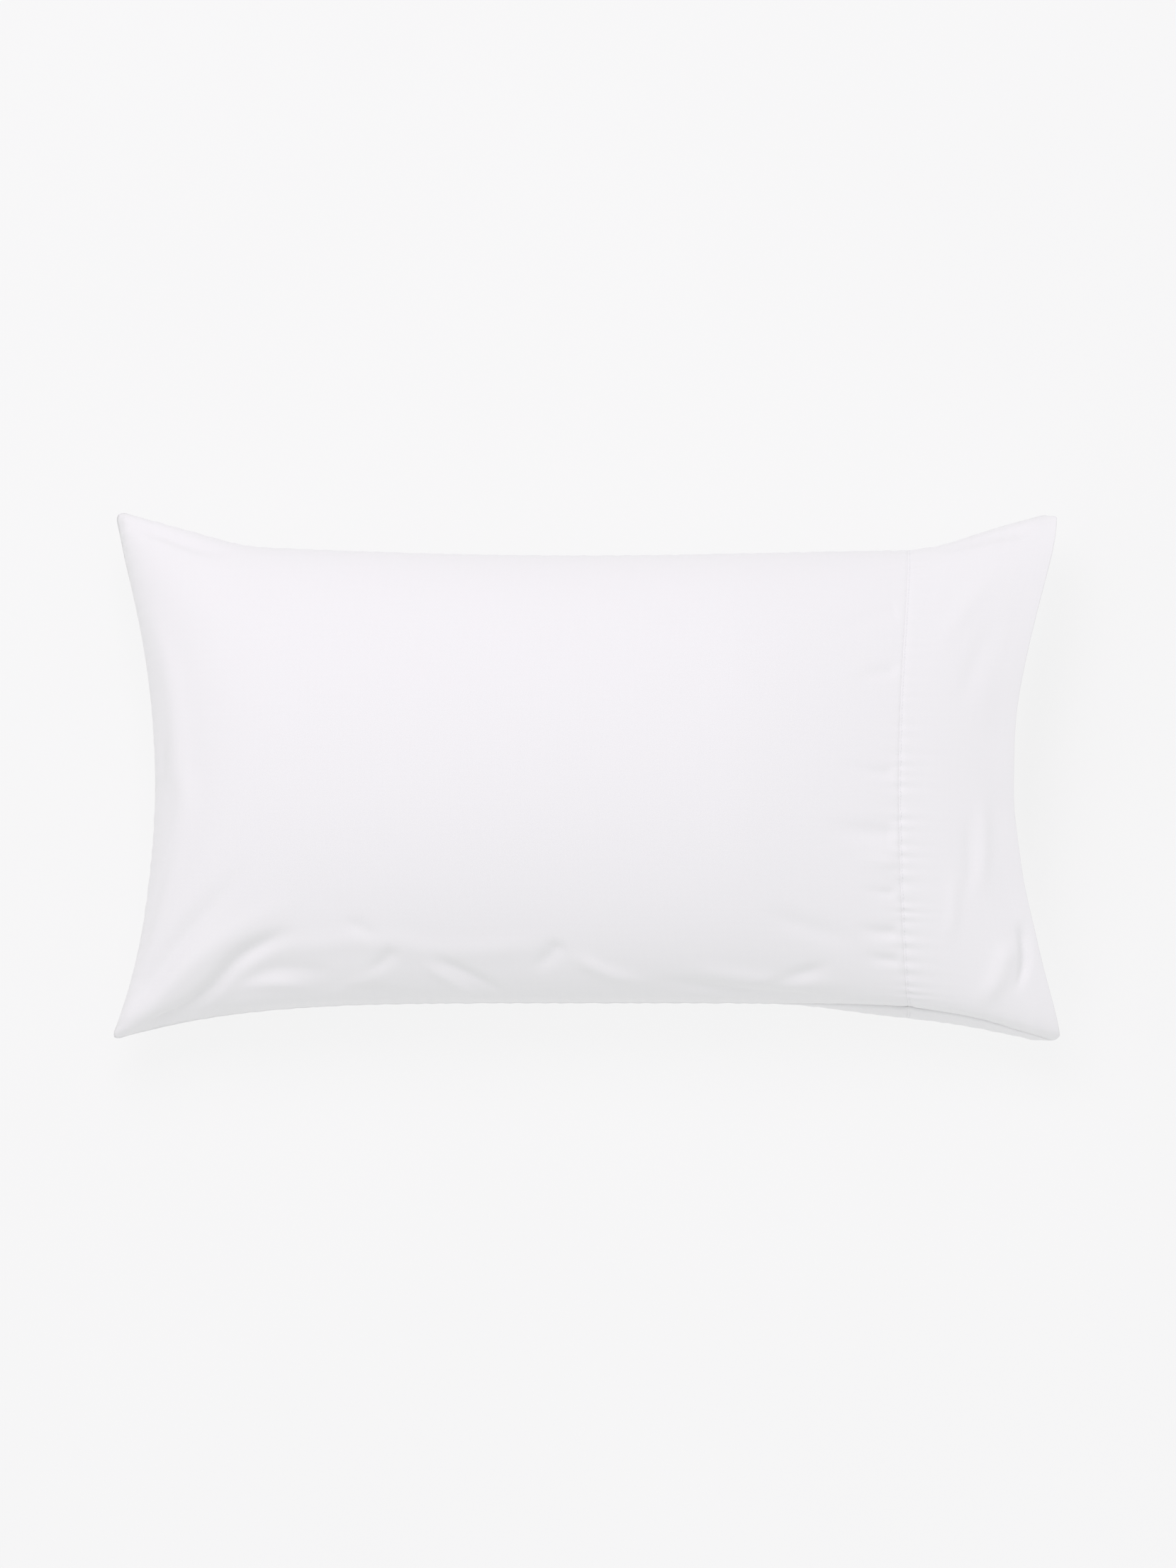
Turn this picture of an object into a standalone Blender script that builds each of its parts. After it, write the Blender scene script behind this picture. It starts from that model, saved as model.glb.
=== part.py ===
"""A bed pillow: a fibre-filled insert in an open-ended cotton pillowcase with a deep hem.

It lies on its back, +Z up, with the mouth of the case at +X. The origin is on the surface it lies on,
under the middle of its footprint. Every layer is drawn on one map of the flat case, where u runs from -1
at the closed end to 1 at the mouth and v from -1 to 1 between the long sides, so the layers nest.
"""

import math
from dataclasses import dataclass

import bmesh
import bpy
from mathutils import Vector

# The cloth as it is cut, and what stuffing does to it.
CASE_FLAT_LENGTH = 0.864
CASE_FLAT_WIDTH = 0.508
HEM_DEPTH = 0.140
LENGTH_TAKE_UP = 0.978  # corner to corner when stuffed, as a share of the flat length
WIDTH_TAKE_UP = 0.954
CLOSED_END_BOW = 0.040  # how far the middle of an end is drawn in
MOUTH_BOW = 0.034
SIDE_BOW = 0.0365
BOW_REACH = 4  # the higher, the nearer to the corners a bow stays
LOFT = 0.176  # floor to crown
SEAM_HEIGHT = 0.070  # the side seams, above the floor
MOUTH_HEIGHT = 0.056  # the mouth's side corners, which hang a little lower
SLOPE_START = 0.40  # where the case starts to close towards its mouth
LIP_SHARE = 0.42  # how far the lips stay parted, as a share of the swelling

# Cloth, thread and the gaps between pieces.
CLOTH = 0.0010
HEM_CLOTH = 0.0018  # the band is folded double
HEM_PROUD = 0.0004
HEM_GAP = 0.0008
SEAM_ALLOWANCE = 0.008
SEAM_PLY = 0.0012
EDGE_HALF = 0.0030
THREAD_RADIUS = 0.0004
GAP = 0.0004

# The insert, its ends and sides as shares of the case's.
INSERT_CLOSED_END = -0.95
INSERT_OPEN_END = 0.80
INSERT_REACH = 0.936
INSERT_BELOW_CASE = 0.0045
INSERT_EDGE_HALF = 0.0022
INSERT_FLOOR = 0.0036
PIPING_RADIUS = 0.0020
FILL_INSET = 0.024
FILL_BELOW_TICKING = 0.0035

LABEL_WIDTH = 0.030
LABEL_LENGTH = 0.040
LABEL_CLOTH = 0.0006

PANEL_COLUMNS, HEM_COLUMNS, INSERT_COLUMNS, ROWS = 22, 7, 22, 18

HALF_LENGTH = CASE_FLAT_LENGTH * LENGTH_TAKE_UP / 2
HALF_WIDTH = CASE_FLAT_WIDTH * WIDTH_TAKE_UP / 2
HEM_U = 1 - HEM_DEPTH / HALF_LENGTH


@dataclass(frozen=True)
class Layer:
    """One bag of the pillow: where it ends on the map, and how far it swells from its seam."""

    closed_end: float
    open_end: float
    reach: float
    edge_half: float  # half the thickness that is left at the seam
    rise: float
    fall: float
    floor: float  # its underside is flat where it would come below this


CASE = Layer(-1, 1, 1, EDGE_HALF, LOFT - SEAM_HEIGHT - EDGE_HALF, SEAM_HEIGHT * 1.35, 0)
INSERT = Layer(INSERT_CLOSED_END, INSERT_OPEN_END, INSERT_REACH, INSERT_EDGE_HALF,
               CASE.rise - INSERT_BELOW_CASE, CASE.fall * 0.9, INSERT_FLOOR)
FILL = Layer(INSERT.closed_end + FILL_INSET, INSERT.open_end - FILL_INSET, INSERT.reach - FILL_INSET, 0,
             INSERT.rise - FILL_BELOW_TICKING, INSERT.fall - FILL_BELOW_TICKING,
             INSERT.floor + CLOTH + 2 * GAP)


def plan(u, v):
    """The place in plan. The ends and the sides are drawn in, most in their middles."""
    bow = MOUTH_BOW if u > 0 else -CLOSED_END_BOW
    x = HALF_LENGTH * u - bow * (1 - v * v) * abs(u) ** BOW_REACH
    y = v * (HALF_WIDTH - SIDE_BOW * (1 - abs(u) ** BOW_REACH))
    return x, y


def slope(u):
    """From 0, where the case starts to close, to 1 at its mouth."""
    return max(0.0, (u - SLOPE_START) / (1 - SLOPE_START)) ** 2


def seam_z(u):
    return SEAM_HEIGHT + (MOUTH_HEIGHT - SEAM_HEIGHT) * slope(u)


def swell(layer, u, v):
    """How full a layer is, from 0 on a closed edge to 1 at the crown."""
    along = (2 * u - layer.closed_end - layer.open_end) / (layer.open_end - layer.closed_end)
    across = v / layer.reach
    full = math.sqrt(max(0.0, 1 - across * across)) * (1 - (1 - LIP_SHARE) * slope(u))
    if layer is CASE and u > 0:
        return full
    return full * math.sqrt(max(0.0, 1 - along**4))


def skin(layer, u, v, side):
    """The outer surface of a layer, above its seam where side is 1 and below it where side is -1."""
    x, y = plan(u, v)
    full = swell(layer, u, v)
    if side > 0:
        return Vector((x, y, seam_z(u) + layer.edge_half + layer.rise * full))
    return Vector((x, y, max(layer.floor, seam_z(u) - layer.edge_half - layer.fall * full)))


def off_skin(layer, u, v, side, out):
    """A point `out` metres outside the surface, or inside it where out is negative."""
    step = 1e-3
    along = skin(layer, u + step, v, side) - skin(layer, u - step, v, side)
    across = skin(layer, u, v + step, side) - skin(layer, u, v - step, side)
    return skin(layer, u, v, side) + along.cross(across).normalized() * (side * out)


def eased(s):
    """Spaces grid lines more closely towards -1 and 1, where the cloth turns down to its seam."""
    return math.sin(math.pi / 2 * s)


def uneased(u):
    return math.asin(u) / (math.pi / 2)


def clear_scene():
    for obj in list(bpy.data.objects):
        bpy.data.objects.remove(obj)


def material(name, colour, roughness):
    made = bpy.data.materials.new(name)
    made.use_nodes = True
    shader = made.node_tree.nodes["Principled BSDF"]
    shader.inputs["Base Color"].default_value = (*colour, 1.0)
    shader.inputs["Roughness"].default_value = roughness
    shader.inputs["Metallic"].default_value = 0.0
    return made


def add_body(name):
    empty = bpy.data.objects.new(name, None)
    bpy.context.scene.collection.objects.link(empty)
    return empty


def add_object(name, data, finish, body):
    obj = bpy.data.objects.new(name, data)
    obj.data.materials.append(finish)
    obj.parent = body
    bpy.context.scene.collection.objects.link(obj)
    return obj


def mesh_from(name, bm):
    mesh = bpy.data.meshes.new(name)
    bm.to_mesh(mesh)
    bm.free()
    mesh.shade_smooth()
    return mesh


def thicken(obj, thickness, offset):
    ply = obj.modifiers.new("ply", "SOLIDIFY")
    ply.thickness = thickness
    ply.offset = offset


def add_half_skin(bm, layer, side, from_u, to_u, columns, proud=0.0):
    """A grid over one side of a layer, facing out."""
    before = set(bm.verts)
    bmesh.ops.create_grid(bm, x_segments=columns, y_segments=ROWS, size=1)
    made = set(bm.verts) - before
    from_s, to_s = uneased(from_u), uneased(to_u)
    for vertex in made:
        u = eased(from_s + (to_s - from_s) * (vertex.co.x + 1) / 2)
        vertex.co = skin(layer, u, layer.reach * eased(vertex.co.y), side) + Vector((0, 0, proud))
    if side < 0:
        faces = {face for vertex in made for face in vertex.link_faces}
        bmesh.ops.reverse_faces(bm, faces=list(faces))


def cloth_panel(name, layer, side, from_u, to_u, columns, thickness, finish, body, proud=0.0):
    bm = bmesh.new()
    add_half_skin(bm, layer, side, from_u, to_u, columns, proud)
    panel = add_object(name, mesh_from(name, bm), finish, body)
    thicken(panel, thickness, -1)
    return panel


def flat_strip(name, pairs, thickness, finish, body):
    """A narrow strip of cloth through pairs of points, one on each of its long edges."""
    bm = bmesh.new()
    made = [(bm.verts.new(one), bm.verts.new(other)) for one, other in pairs]
    for (one, other), (next_one, next_other) in zip(made, made[1:]):
        bm.faces.new((one, next_one, next_other, other))
    bmesh.ops.recalc_face_normals(bm, faces=bm.faces[:])
    strip = add_object(name, mesh_from(name, bm), finish, body)
    thicken(strip, thickness, 0)
    return strip


def tube(name, points, radius, finish, body, closed=False):
    """A round cord or thread through the points."""
    curve = bpy.data.curves.new(name, "CURVE")
    curve.dimensions = "3D"
    curve.bevel_depth = radius
    curve.bevel_resolution = 1
    curve.use_fill_caps = not closed
    spline = curve.splines.new("POLY")
    spline.points.add(len(points) - 1)
    for spline_point, point in zip(spline.points, points):
        spline_point.co = (*point, 1.0)
    spline.use_cyclic_u = closed
    return add_object(name, curve, finish, body)


def side_seam(name, side, finish, body):
    """The stitched seam allowance along one long side, turned inside the case."""
    first_u, last_u, stations = -0.93, 0.996, 30
    pairs = []
    for i in range(stations + 1):
        u = first_u + (last_u - first_u) * i / stations
        x, y = plan(u, side)
        edge = Vector((x, y - side * GAP, seam_z(u)))
        pairs.append((edge, edge - Vector((0, side * SEAM_ALLOWANCE, 0))))
    return flat_strip(name, pairs, SEAM_PLY, finish, body)


def end_seam(name, finish, body):
    """The same allowance across the closed end."""
    last_v, stations = 0.93, 18
    pairs = []
    for i in range(stations + 1):
        x, y = plan(-1, last_v * (2 * i / stations - 1))
        edge = Vector((x + GAP, y, SEAM_HEIGHT))
        pairs.append((edge, edge + Vector((SEAM_ALLOWANCE, 0, 0))))
    return flat_strip(name, pairs, SEAM_PLY, finish, body)


def hem_stitching(name, side, finish, body):
    """The thread that holds the hem band: over the cloth on the front, and inside it on the back."""
    if side > 0:
        out = HEM_PROUD + GAP + THREAD_RADIUS
    else:
        out = -(HEM_CLOTH + GAP + THREAD_RADIUS)
    points = [off_skin(CASE, HEM_U, eased(2 * i / ROWS - 1), side, out) for i in range(2, ROWS - 1)]
    return tube(name, points, THREAD_RADIUS, finish, body)


def case_label(name, finish, body):
    """A blank woven label inside the back of the hem, held in the lower side seam."""
    u, first_v, last_v, stations = 0.84, -0.90, -0.72, 4
    half_u = LABEL_WIDTH / 2 / HALF_LENGTH
    depth = -(HEM_CLOTH + 3 * GAP + LABEL_CLOTH)
    pairs = []
    for i in range(stations + 1):
        v = first_v + (last_v - first_v) * i / stations
        pairs.append((off_skin(CASE, u + half_u, v, -1, depth), off_skin(CASE, u - half_u, v, -1, depth)))
    return flat_strip(name, pairs, LABEL_CLOTH, finish, body)


def build_case():
    cotton = material("white_percale", (0.91, 0.91, 0.92), 0.85)
    hem_cotton = material("white_percale_hem", (0.90, 0.90, 0.91), 0.85)
    thread = material("white_thread", (0.93, 0.93, 0.93), 0.6)
    satin = material("label_satin", (0.95, 0.95, 0.93), 0.45)
    body = add_body("pillowcase")
    gap_u = HEM_GAP / 2 / HALF_LENGTH
    for word, side, proud in (("front", 1, HEM_PROUD), ("back", -1, 0.0)):
        cloth_panel(f"case_{word}_panel", CASE, side, -1, HEM_U - gap_u, PANEL_COLUMNS, CLOTH, cotton, body)
        cloth_panel(f"hem_band_{word}", CASE, side, HEM_U + gap_u, 1, HEM_COLUMNS, HEM_CLOTH, hem_cotton,
                    body, proud)
        hem_stitching(f"hem_stitching_{word}", side, thread, body)
    side_seam("upper_side_seam", 1, cotton, body)
    side_seam("lower_side_seam", -1, cotton, body)
    end_seam("closed_end_seam", cotton, body)
    case_label("case_care_label", satin, body)


def fibre_fill(finish, body):
    """The wad of fibre, both sides meeting along its rim."""
    bm = bmesh.new()
    for side in (1, -1):
        add_half_skin(bm, FILL, side, FILL.closed_end, FILL.open_end, INSERT_COLUMNS)
    bmesh.ops.remove_doubles(bm, verts=bm.verts[:], dist=1e-6)
    return add_object("fibre_fill", mesh_from("fibre_fill", bm), finish, body)


def piping(finish, body):
    """A cord round the insert, just outside the edges of its two panels."""
    out_u = (PIPING_RADIUS + GAP) / HALF_LENGTH
    middle = (INSERT.closed_end + INSERT.open_end) / 2
    half = (INSERT.open_end - INSERT.closed_end) / 2
    points = []
    for first, last, count in (
        ((-1, -1), (1, -1), INSERT_COLUMNS),
        ((1, -1), (1, 1), ROWS),
        ((1, 1), (-1, 1), INSERT_COLUMNS),
        ((-1, 1), (-1, -1), ROWS),
    ):
        for i in range(count):
            p = first[0] + (last[0] - first[0]) * i / count
            q = first[1] + (last[1] - first[1]) * i / count
            u, v = middle + half * p, INSERT.reach * q
            x, y = plan(u, v)
            step_x = PIPING_RADIUS + GAP if abs(p) == 1 else 0.0
            step_y = PIPING_RADIUS + GAP if abs(q) == 1 else 0.0
            shifted = Vector((x + math.copysign(step_x, p), y + math.copysign(step_y, q), 0))
            shifted.z = seam_z(u + math.copysign(out_u, p) if abs(p) == 1 else u)
            points.append(shifted)
    return tube("ticking_piping", points, PIPING_RADIUS, finish, body, closed=True)


def filling_gap_stitch(finish, body):
    """The machine stitching that shuts the gap the fibre was blown in through, at the mouth end."""
    reach_v, from_end, stations = 0.5, 0.03, 8
    out = THREAD_RADIUS + GAP
    points = []
    for i in range(stations + 1):
        v = reach_v * (2 * i / stations - 1)
        points.append(off_skin(INSERT, INSERT.open_end - from_end, v, 1, out))
    return tube("filling_gap_stitch", points, THREAD_RADIUS, finish, body)


def insert_label(name, finish, body):
    """A blank woven label caught in the piping at the mouth end."""
    first_u, stations, middle_v = INSERT.open_end + 0.02, 4, 0.5
    length_u = LABEL_LENGTH * 0.7 / HALF_LENGTH
    half_v = LABEL_WIDTH / 2 / HALF_WIDTH
    pairs = []
    for i in range(stations + 1):
        u = first_u + length_u * i / stations
        pair = [Vector((*plan(u, middle_v + sign * half_v), seam_z(u))) for sign in (1, -1)]
        pairs.append(tuple(pair))
    return flat_strip(name, pairs, LABEL_CLOTH, finish, body)


def build_insert():
    ticking = material("ticking_cotton", (0.88, 0.88, 0.86), 0.9)
    cord = material("piping_cotton", (0.86, 0.86, 0.84), 0.85)
    fibre = material("polyester_fibre", (0.95, 0.95, 0.95), 1.0)
    thread = material("insert_thread", (0.93, 0.93, 0.93), 0.6)
    satin = material("insert_label_satin", (0.95, 0.95, 0.93), 0.45)
    body = add_body("insert")
    for word, side in (("top", 1), ("bottom", -1)):
        cloth_panel(f"ticking_{word}", INSERT, side, INSERT.closed_end, INSERT.open_end, INSERT_COLUMNS,
                    CLOTH, ticking, body)
    fibre_fill(fibre, body)
    piping(cord, body)
    filling_gap_stitch(thread, body)
    insert_label("insert_care_label", satin, body)


def main():
    clear_scene()
    build_case()
    build_insert()


main()
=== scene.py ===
# %% [markdown]
# # A stuffed bed pillow in a white pillowcase
#
# The object is a fibre-filled insert that lies in an open-ended cotton case with a deep hem. The case is
# made the way it is sewn: a front and a back panel, a double hem band on each, three seams, two rows of
# hem stitches and a label. The insert has its own ticking, piping, filling and closing stitches.
#
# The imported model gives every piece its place. The cloth is first shaped as a coarse bag and relaxed by
# cloth simulation. Each piece is then a fine grid that is laid on that bag, so that it follows the bag
# exactly, and the small folds and puckers are worked in at the end, as with a sculpting brush.

# %% Load the fixed frame
import math
import bmesh
import bpy
import numpy as np
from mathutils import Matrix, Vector
from mathutils.bvhtree import BVHTree


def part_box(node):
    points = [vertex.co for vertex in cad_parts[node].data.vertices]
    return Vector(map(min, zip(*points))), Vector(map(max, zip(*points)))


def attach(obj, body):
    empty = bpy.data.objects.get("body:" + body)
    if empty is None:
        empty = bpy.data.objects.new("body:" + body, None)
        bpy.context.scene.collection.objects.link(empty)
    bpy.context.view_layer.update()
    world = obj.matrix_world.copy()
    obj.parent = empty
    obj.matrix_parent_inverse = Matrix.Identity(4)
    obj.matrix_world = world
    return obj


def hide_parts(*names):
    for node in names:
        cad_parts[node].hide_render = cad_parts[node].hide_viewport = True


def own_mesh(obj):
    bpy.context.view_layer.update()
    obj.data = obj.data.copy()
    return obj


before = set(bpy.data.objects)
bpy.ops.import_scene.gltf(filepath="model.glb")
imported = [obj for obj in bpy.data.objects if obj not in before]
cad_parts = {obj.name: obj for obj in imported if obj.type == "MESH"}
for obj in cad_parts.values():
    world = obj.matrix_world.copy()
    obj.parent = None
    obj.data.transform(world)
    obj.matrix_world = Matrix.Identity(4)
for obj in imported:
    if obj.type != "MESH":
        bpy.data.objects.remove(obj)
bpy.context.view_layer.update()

scene = bpy.context.scene

# %% [markdown]
# ## Sizes
#
# The flat case is 864 by 508 mm with a 140 mm hem. Stuffing draws it in. The corners move least, and the
# middles of the ends and the sides most, which gives a pillow its four ears. Heights come from the frame:
# the seam starts at the height of the closed end's allowance and comes down a little towards the mouth.

# %% Sizes of the cloth and of the stuffed bag
MM = 0.001
FLAT_LENGTH, FLAT_WIDTH, HEM_DEPTH = 864 * MM, 508 * MM, 140 * MM
HALF_FLAT_X, HALF_FLAT_Y = FLAT_LENGTH / 2, FLAT_WIDTH / 2
HEM_X = HALF_FLAT_X - HEM_DEPTH

case_low, case_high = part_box("case_front_panel")
mouth_low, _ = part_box("hem_band_front")
HALF_LENGTH = -case_low.x
HALF_WIDTH = case_high.y
LOFT = case_high.z
SEAM_ABOVE_ALLOWANCE, MOUTH_SEAM_BELOW_HEM = 0.6 * MM, 2.4 * MM
SEAM_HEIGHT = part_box("closed_end_seam")[0].z + SEAM_ABOVE_ALLOWANCE
MOUTH_SEAM_HEIGHT = mouth_low.z - MOUTH_SEAM_BELOW_HEM
CLOSED_END_BOW, MOUTH_BOW = 40 * MM, 42 * MM
LOWER_SIDE_BOW, UPPER_SIDE_BOW = 36.5 * MM, 46.5 * MM
BOW_REACH = 4
UPPER_EAR_START, UPPER_EAR_SOFTNESS = 0.72, 0.03
FLARED_BEFORE_EAR, EAR_SLOPE = 0.2, 1.095
UPPER_LONGER = 0.012
CLOSING_START, CLOSING_POWER, LIP_SHARE = 0.30, 1.4, 0.42
CROWN_SPARE, UNDERSIDE_DEPTH = 1 * MM, 1.35
REST_SOFTNESS, REST_SINK, LEAST_HEIGHT = 12 * MM, 2.4 * MM, 0.6 * MM
print("half length", round(HALF_LENGTH, 4), "half width", round(HALF_WIDTH, 4), "loft", round(LOFT, 4))
print("seam heights", round(SEAM_HEIGHT, 4), round(MOUTH_SEAM_HEIGHT, 4))

# %% [markdown]
# ## The shape of a stuffed bag
#
# A stuffed bag could be blown up from two flat sheets in one long simulation, but such a bag balloons: its
# sides take a V shape, and deep pinches form at the middles of its ends. A filled pillow is firmer and
# flatter. So the bag starts from a formula: u runs along it and t across it, each from -1 to 1, and a
# section across it is a half ellipse above the seam and a shallower one below, flat where it rests.

# %% The bag's formula
def closing(u):
    """From 0, where the bag starts to close towards its mouth, to 1 at the mouth."""
    return np.clip((u - CLOSING_START) / (1 - CLOSING_START), 0, 1) ** CLOSING_POWER


def seam_height(u):
    """The height of the seam, which comes down towards the mouth."""
    return SEAM_HEIGHT + (MOUTH_SEAM_HEIGHT - SEAM_HEIGHT) * closing(u)


def upper_flare(u):
    """How far the upper side has flared out: hardly at all up to its ears, then along a straight run."""
    past = np.abs(u) - UPPER_EAR_START
    run = EAR_SLOPE * (past + np.sqrt(past * past + UPPER_EAR_SOFTNESS**2))
    return FLARED_BEFORE_EAR * (u / UPPER_EAR_START) ** 2 + run


def plan_of(u, t):
    """The place in plan of a point of the bag."""
    inward = np.clip(1 - t * t, 0, 1)
    bow = np.where(u > 0, MOUTH_BOW * inward**1.5, -CLOSED_END_BOW * inward)
    longer = 1 + UPPER_LONGER * t * (1 - t**6)
    x = HALF_LENGTH * u * longer - bow * np.abs(u) ** BOW_REACH
    lower = LOWER_SIDE_BOW * (1 - np.abs(u) ** BOW_REACH)
    upper = UPPER_SIDE_BOW * (1 - upper_flare(u) / upper_flare(1.0))
    return x, t * (HALF_WIDTH - lower - (upper - lower) * (1 + t) / 2)


def rest_on_floor(z, softness, floor=0.0):
    """Height z, flattened smoothly where it would come below the floor."""
    z = z - floor
    return 0.5 * (z + np.sqrt(z * z + softness * softness)) + floor


def case_shape(u, t, side):
    """Places on the stuffed case. side is 1 above the seam and -1 below it."""
    x, y = plan_of(u, t)
    across = np.sqrt(np.clip(1 - t * t, 0, 1))
    along = np.where(u > 0, 1 - (1 - LIP_SHARE) * closing(u), np.sqrt(np.clip(1 - u**4, 0, 1)))
    if side > 0:
        z = seam_height(u) + (LOFT - CROWN_SPARE - SEAM_HEIGHT) * across * along
    else:
        deep = seam_height(u) - UNDERSIDE_DEPTH * SEAM_HEIGHT * across * along
        z = np.maximum(rest_on_floor(deep, REST_SOFTNESS) - REST_SINK, LEAST_HEIGHT)
    return np.stack([x, y, z], -1)


# %% [markdown]
# ## Laying cloth without stretching it
#
# Percale hardly stretches. A grid line along the cloth has to keep nearly the length it had in the flat,
# or the weave and every seam that is laid on it later would be stretched. Spacing the grid lines evenly
# along the curved surface, in one direction and then in the other, a few times over, comes close to that.

# %% Even spacing on the curved surface
def spaced_evenly(values, points, axis):
    """values, moved along the lines of one grid axis until the points on each line are evenly spaced."""
    steps = np.linalg.norm(np.diff(points, axis=axis), axis=-1)
    reached = np.concatenate([np.zeros_like(np.take(steps, [0], axis)), np.cumsum(steps, axis)], axis)
    reached = reached / np.take(reached, [-1], axis)
    evenly = np.linspace(0, 1, values.shape[axis])
    moved = np.empty_like(values)
    for line in range(values.shape[1 - axis]):
        row = (slice(None), line) if axis == 0 else (line, slice(None))
        moved[row] = np.interp(evenly, reached[row], values[row])
    return moved


def laid_grid(shape, side, columns, rows, passes=12):
    """The points of an evenly spaced grid of cloth over one side of a bag: columns + 1 by rows + 1."""
    u, t = np.meshgrid(np.linspace(-1, 1, columns + 1), np.linspace(-1, 1, rows + 1), indexing="ij")
    for _ in range(passes):
        u = spaced_evenly(u, shape(u, t, side), 0)
        t = spaced_evenly(t, shape(u, t, side), 1)
    return shape(u, t, side)


CELL = 8 * MM
COLUMNS, ROWS = round(FLAT_LENGTH / CELL), round(FLAT_WIDTH / CELL)
designed = {side: laid_grid(case_shape, side, COLUMNS, ROWS) for side in (1, -1)}
for side, points in designed.items():
    along = np.linalg.norm(np.diff(points, axis=0), axis=-1).sum(0) / FLAT_LENGTH
    across = np.linalg.norm(np.diff(points, axis=1), axis=-1).sum(1) / FLAT_WIDTH
    print("side", side, "length kept", along[[0, ROWS // 4, ROWS // 2]].round(3),
          "width kept", across[[0, COLUMNS // 4, COLUMNS // 2, -1]].round(3))

# %% [markdown]
# ## Relaxing the bag
#
# A short cloth simulation turns the formula into cloth. The bag is one mesh, with its two layers welded
# along three sides and open at the mouth. Its rest shape is the flat case, held in a shape key, so that
# cloth that has room to spare wrinkles and cloth that is drawn tight pulls its neighbours. Air pressure
# stands for the filling, and a plane below for the bed. Only a few frames are run, because a long one ends
# in the balloon that the formula avoids. The result is read off the mesh, and the mesh is then removed.

# %% Helpers for meshes and objects
def new_object(name, bm):
    """An object with a smoothly shaded mesh, which takes the place of its bmesh."""
    mesh = bpy.data.meshes.new(name)
    bm.to_mesh(mesh)
    bm.free()
    mesh.shade_smooth()
    obj = bpy.data.objects.new(name, mesh)
    scene.collection.objects.link(obj)
    return obj


def new_grid(bm, columns, rows):
    """A new grid of columns by rows faces, as its vertices, each with its column and its row."""
    made = bmesh.ops.create_grid(bm, x_segments=columns, y_segments=rows, size=1)["verts"]
    return [(vertex, round((vertex.co.x + 1) / 2 * columns), round((vertex.co.y + 1) / 2 * rows))
            for vertex in made]


def faces_of(grid):
    """The faces of a grid that new_grid made."""
    return list({face for vertex, _, _ in grid for face in vertex.link_faces})


# %% The cloth simulation
WELD, HALF_APART = 0.001 * MM, 0.5 * MM
BED_SKIN, BED_SINK = 2 * MM, 2.4 * MM


def relaxed_bag(name, layers, flat_length, flat_width, frames, pressure, open_end, weight, bed_height=0.0):
    """The two layers of a bag after a short cloth simulation, as arrays of points like those given."""
    columns, rows = layers[1].shape[0] - 1, layers[1].shape[1] - 1
    bm = bmesh.new()
    column_of, row_of, side_of = (bm.verts.layers.int.new(word) for word in ("column", "row", "side"))
    for side in (1, -1):
        grid = new_grid(bm, columns, rows)
        for vertex, column, row in grid:
            vertex[column_of], vertex[row_of], vertex[side_of] = column, row, side
            vertex.co = layers[side][column, row]
        if side < 0:
            bmesh.ops.reverse_faces(bm, faces=faces_of(grid))
    bmesh.ops.remove_doubles(bm, verts=bm.verts[:], dist=WELD)
    keys = [(v[column_of], v[row_of], v[side_of]) for v in bm.verts]
    bag = new_object(name, bm)

    bag.shape_key_add(name="Basis")
    flat = bag.shape_key_add(name="flat")
    on_rim = [row in (0, rows) or column == 0 or (column == columns and not open_end)
              for column, row, _ in keys]
    for place, (column, row, side), rim in zip(flat.data, keys, on_rim):
        place.co = ((column / columns - 0.5) * flat_length, (row / rows - 0.5) * flat_width,
                    0.0 if rim else side * HALF_APART)
    flat.value = 0.0

    bm = bmesh.new()
    bmesh.ops.create_grid(bm, x_segments=1, y_segments=1, size=1.5)
    bed = new_object("bed_plane", bm)
    bed.location.z = bed_height - BED_SINK
    bed.modifiers.new("bed", "COLLISION")
    bed.collision.thickness_outer = BED_SKIN
    bed.collision.cloth_friction = 5

    if open_end:
        lips = bag.vertex_groups.new(name="lips")
        lips.add([i for i, key in enumerate(keys) if key[0] == columns], 1.0, "REPLACE")
    cloth = bag.modifiers.new("cloth", "CLOTH")
    settings = cloth.settings
    settings.rest_shape_key = flat
    settings.quality = 6
    settings.mass = 0.15
    settings.tension_stiffness, settings.compression_stiffness = 40, 10
    settings.shear_stiffness, settings.bending_stiffness = 5, 0.5
    settings.air_damping = 4
    settings.use_pressure = True
    settings.uniform_pressure_force = pressure
    settings.effector_weights.gravity = weight
    if open_end:
        settings.vertex_group_mass = "lips"
    cloth.collision_settings.use_collision = True
    cloth.collision_settings.distance_min = BED_SKIN
    cloth.point_cache.frame_start, cloth.point_cache.frame_end = 1, frames
    for number in range(1, frames + 1):
        scene.frame_set(number)
    graph = bpy.context.evaluated_depsgraph_get()
    settled = bag.evaluated_get(graph).to_mesh()
    places = np.empty(len(settled.vertices) * 3)
    settled.vertices.foreach_get("co", places)
    places = places.reshape(-1, 3)
    result = {side: points.copy() for side, points in layers.items()}
    for (column, row, side), rim, place in zip(keys, on_rim, places):
        for each in (1, -1) if rim else (side,):
            result[each][column, row] = place
    for used in (bag, bed):
        bpy.data.objects.remove(used)
    scene.frame_set(1)
    return result


CASE_FRAMES = 6
bag = relaxed_bag("case_bag", designed, FLAT_LENGTH, FLAT_WIDTH, CASE_FRAMES, pressure=1.0,
                  open_end=True, weight=0.01)
moved = max(np.abs(bag[side] - designed[side]).max() for side in (1, -1))
print("relaxing moved the cloth by at most", round(moved / MM, 1), "mm; crown", bag[1][..., 2].max().round(4))

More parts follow.
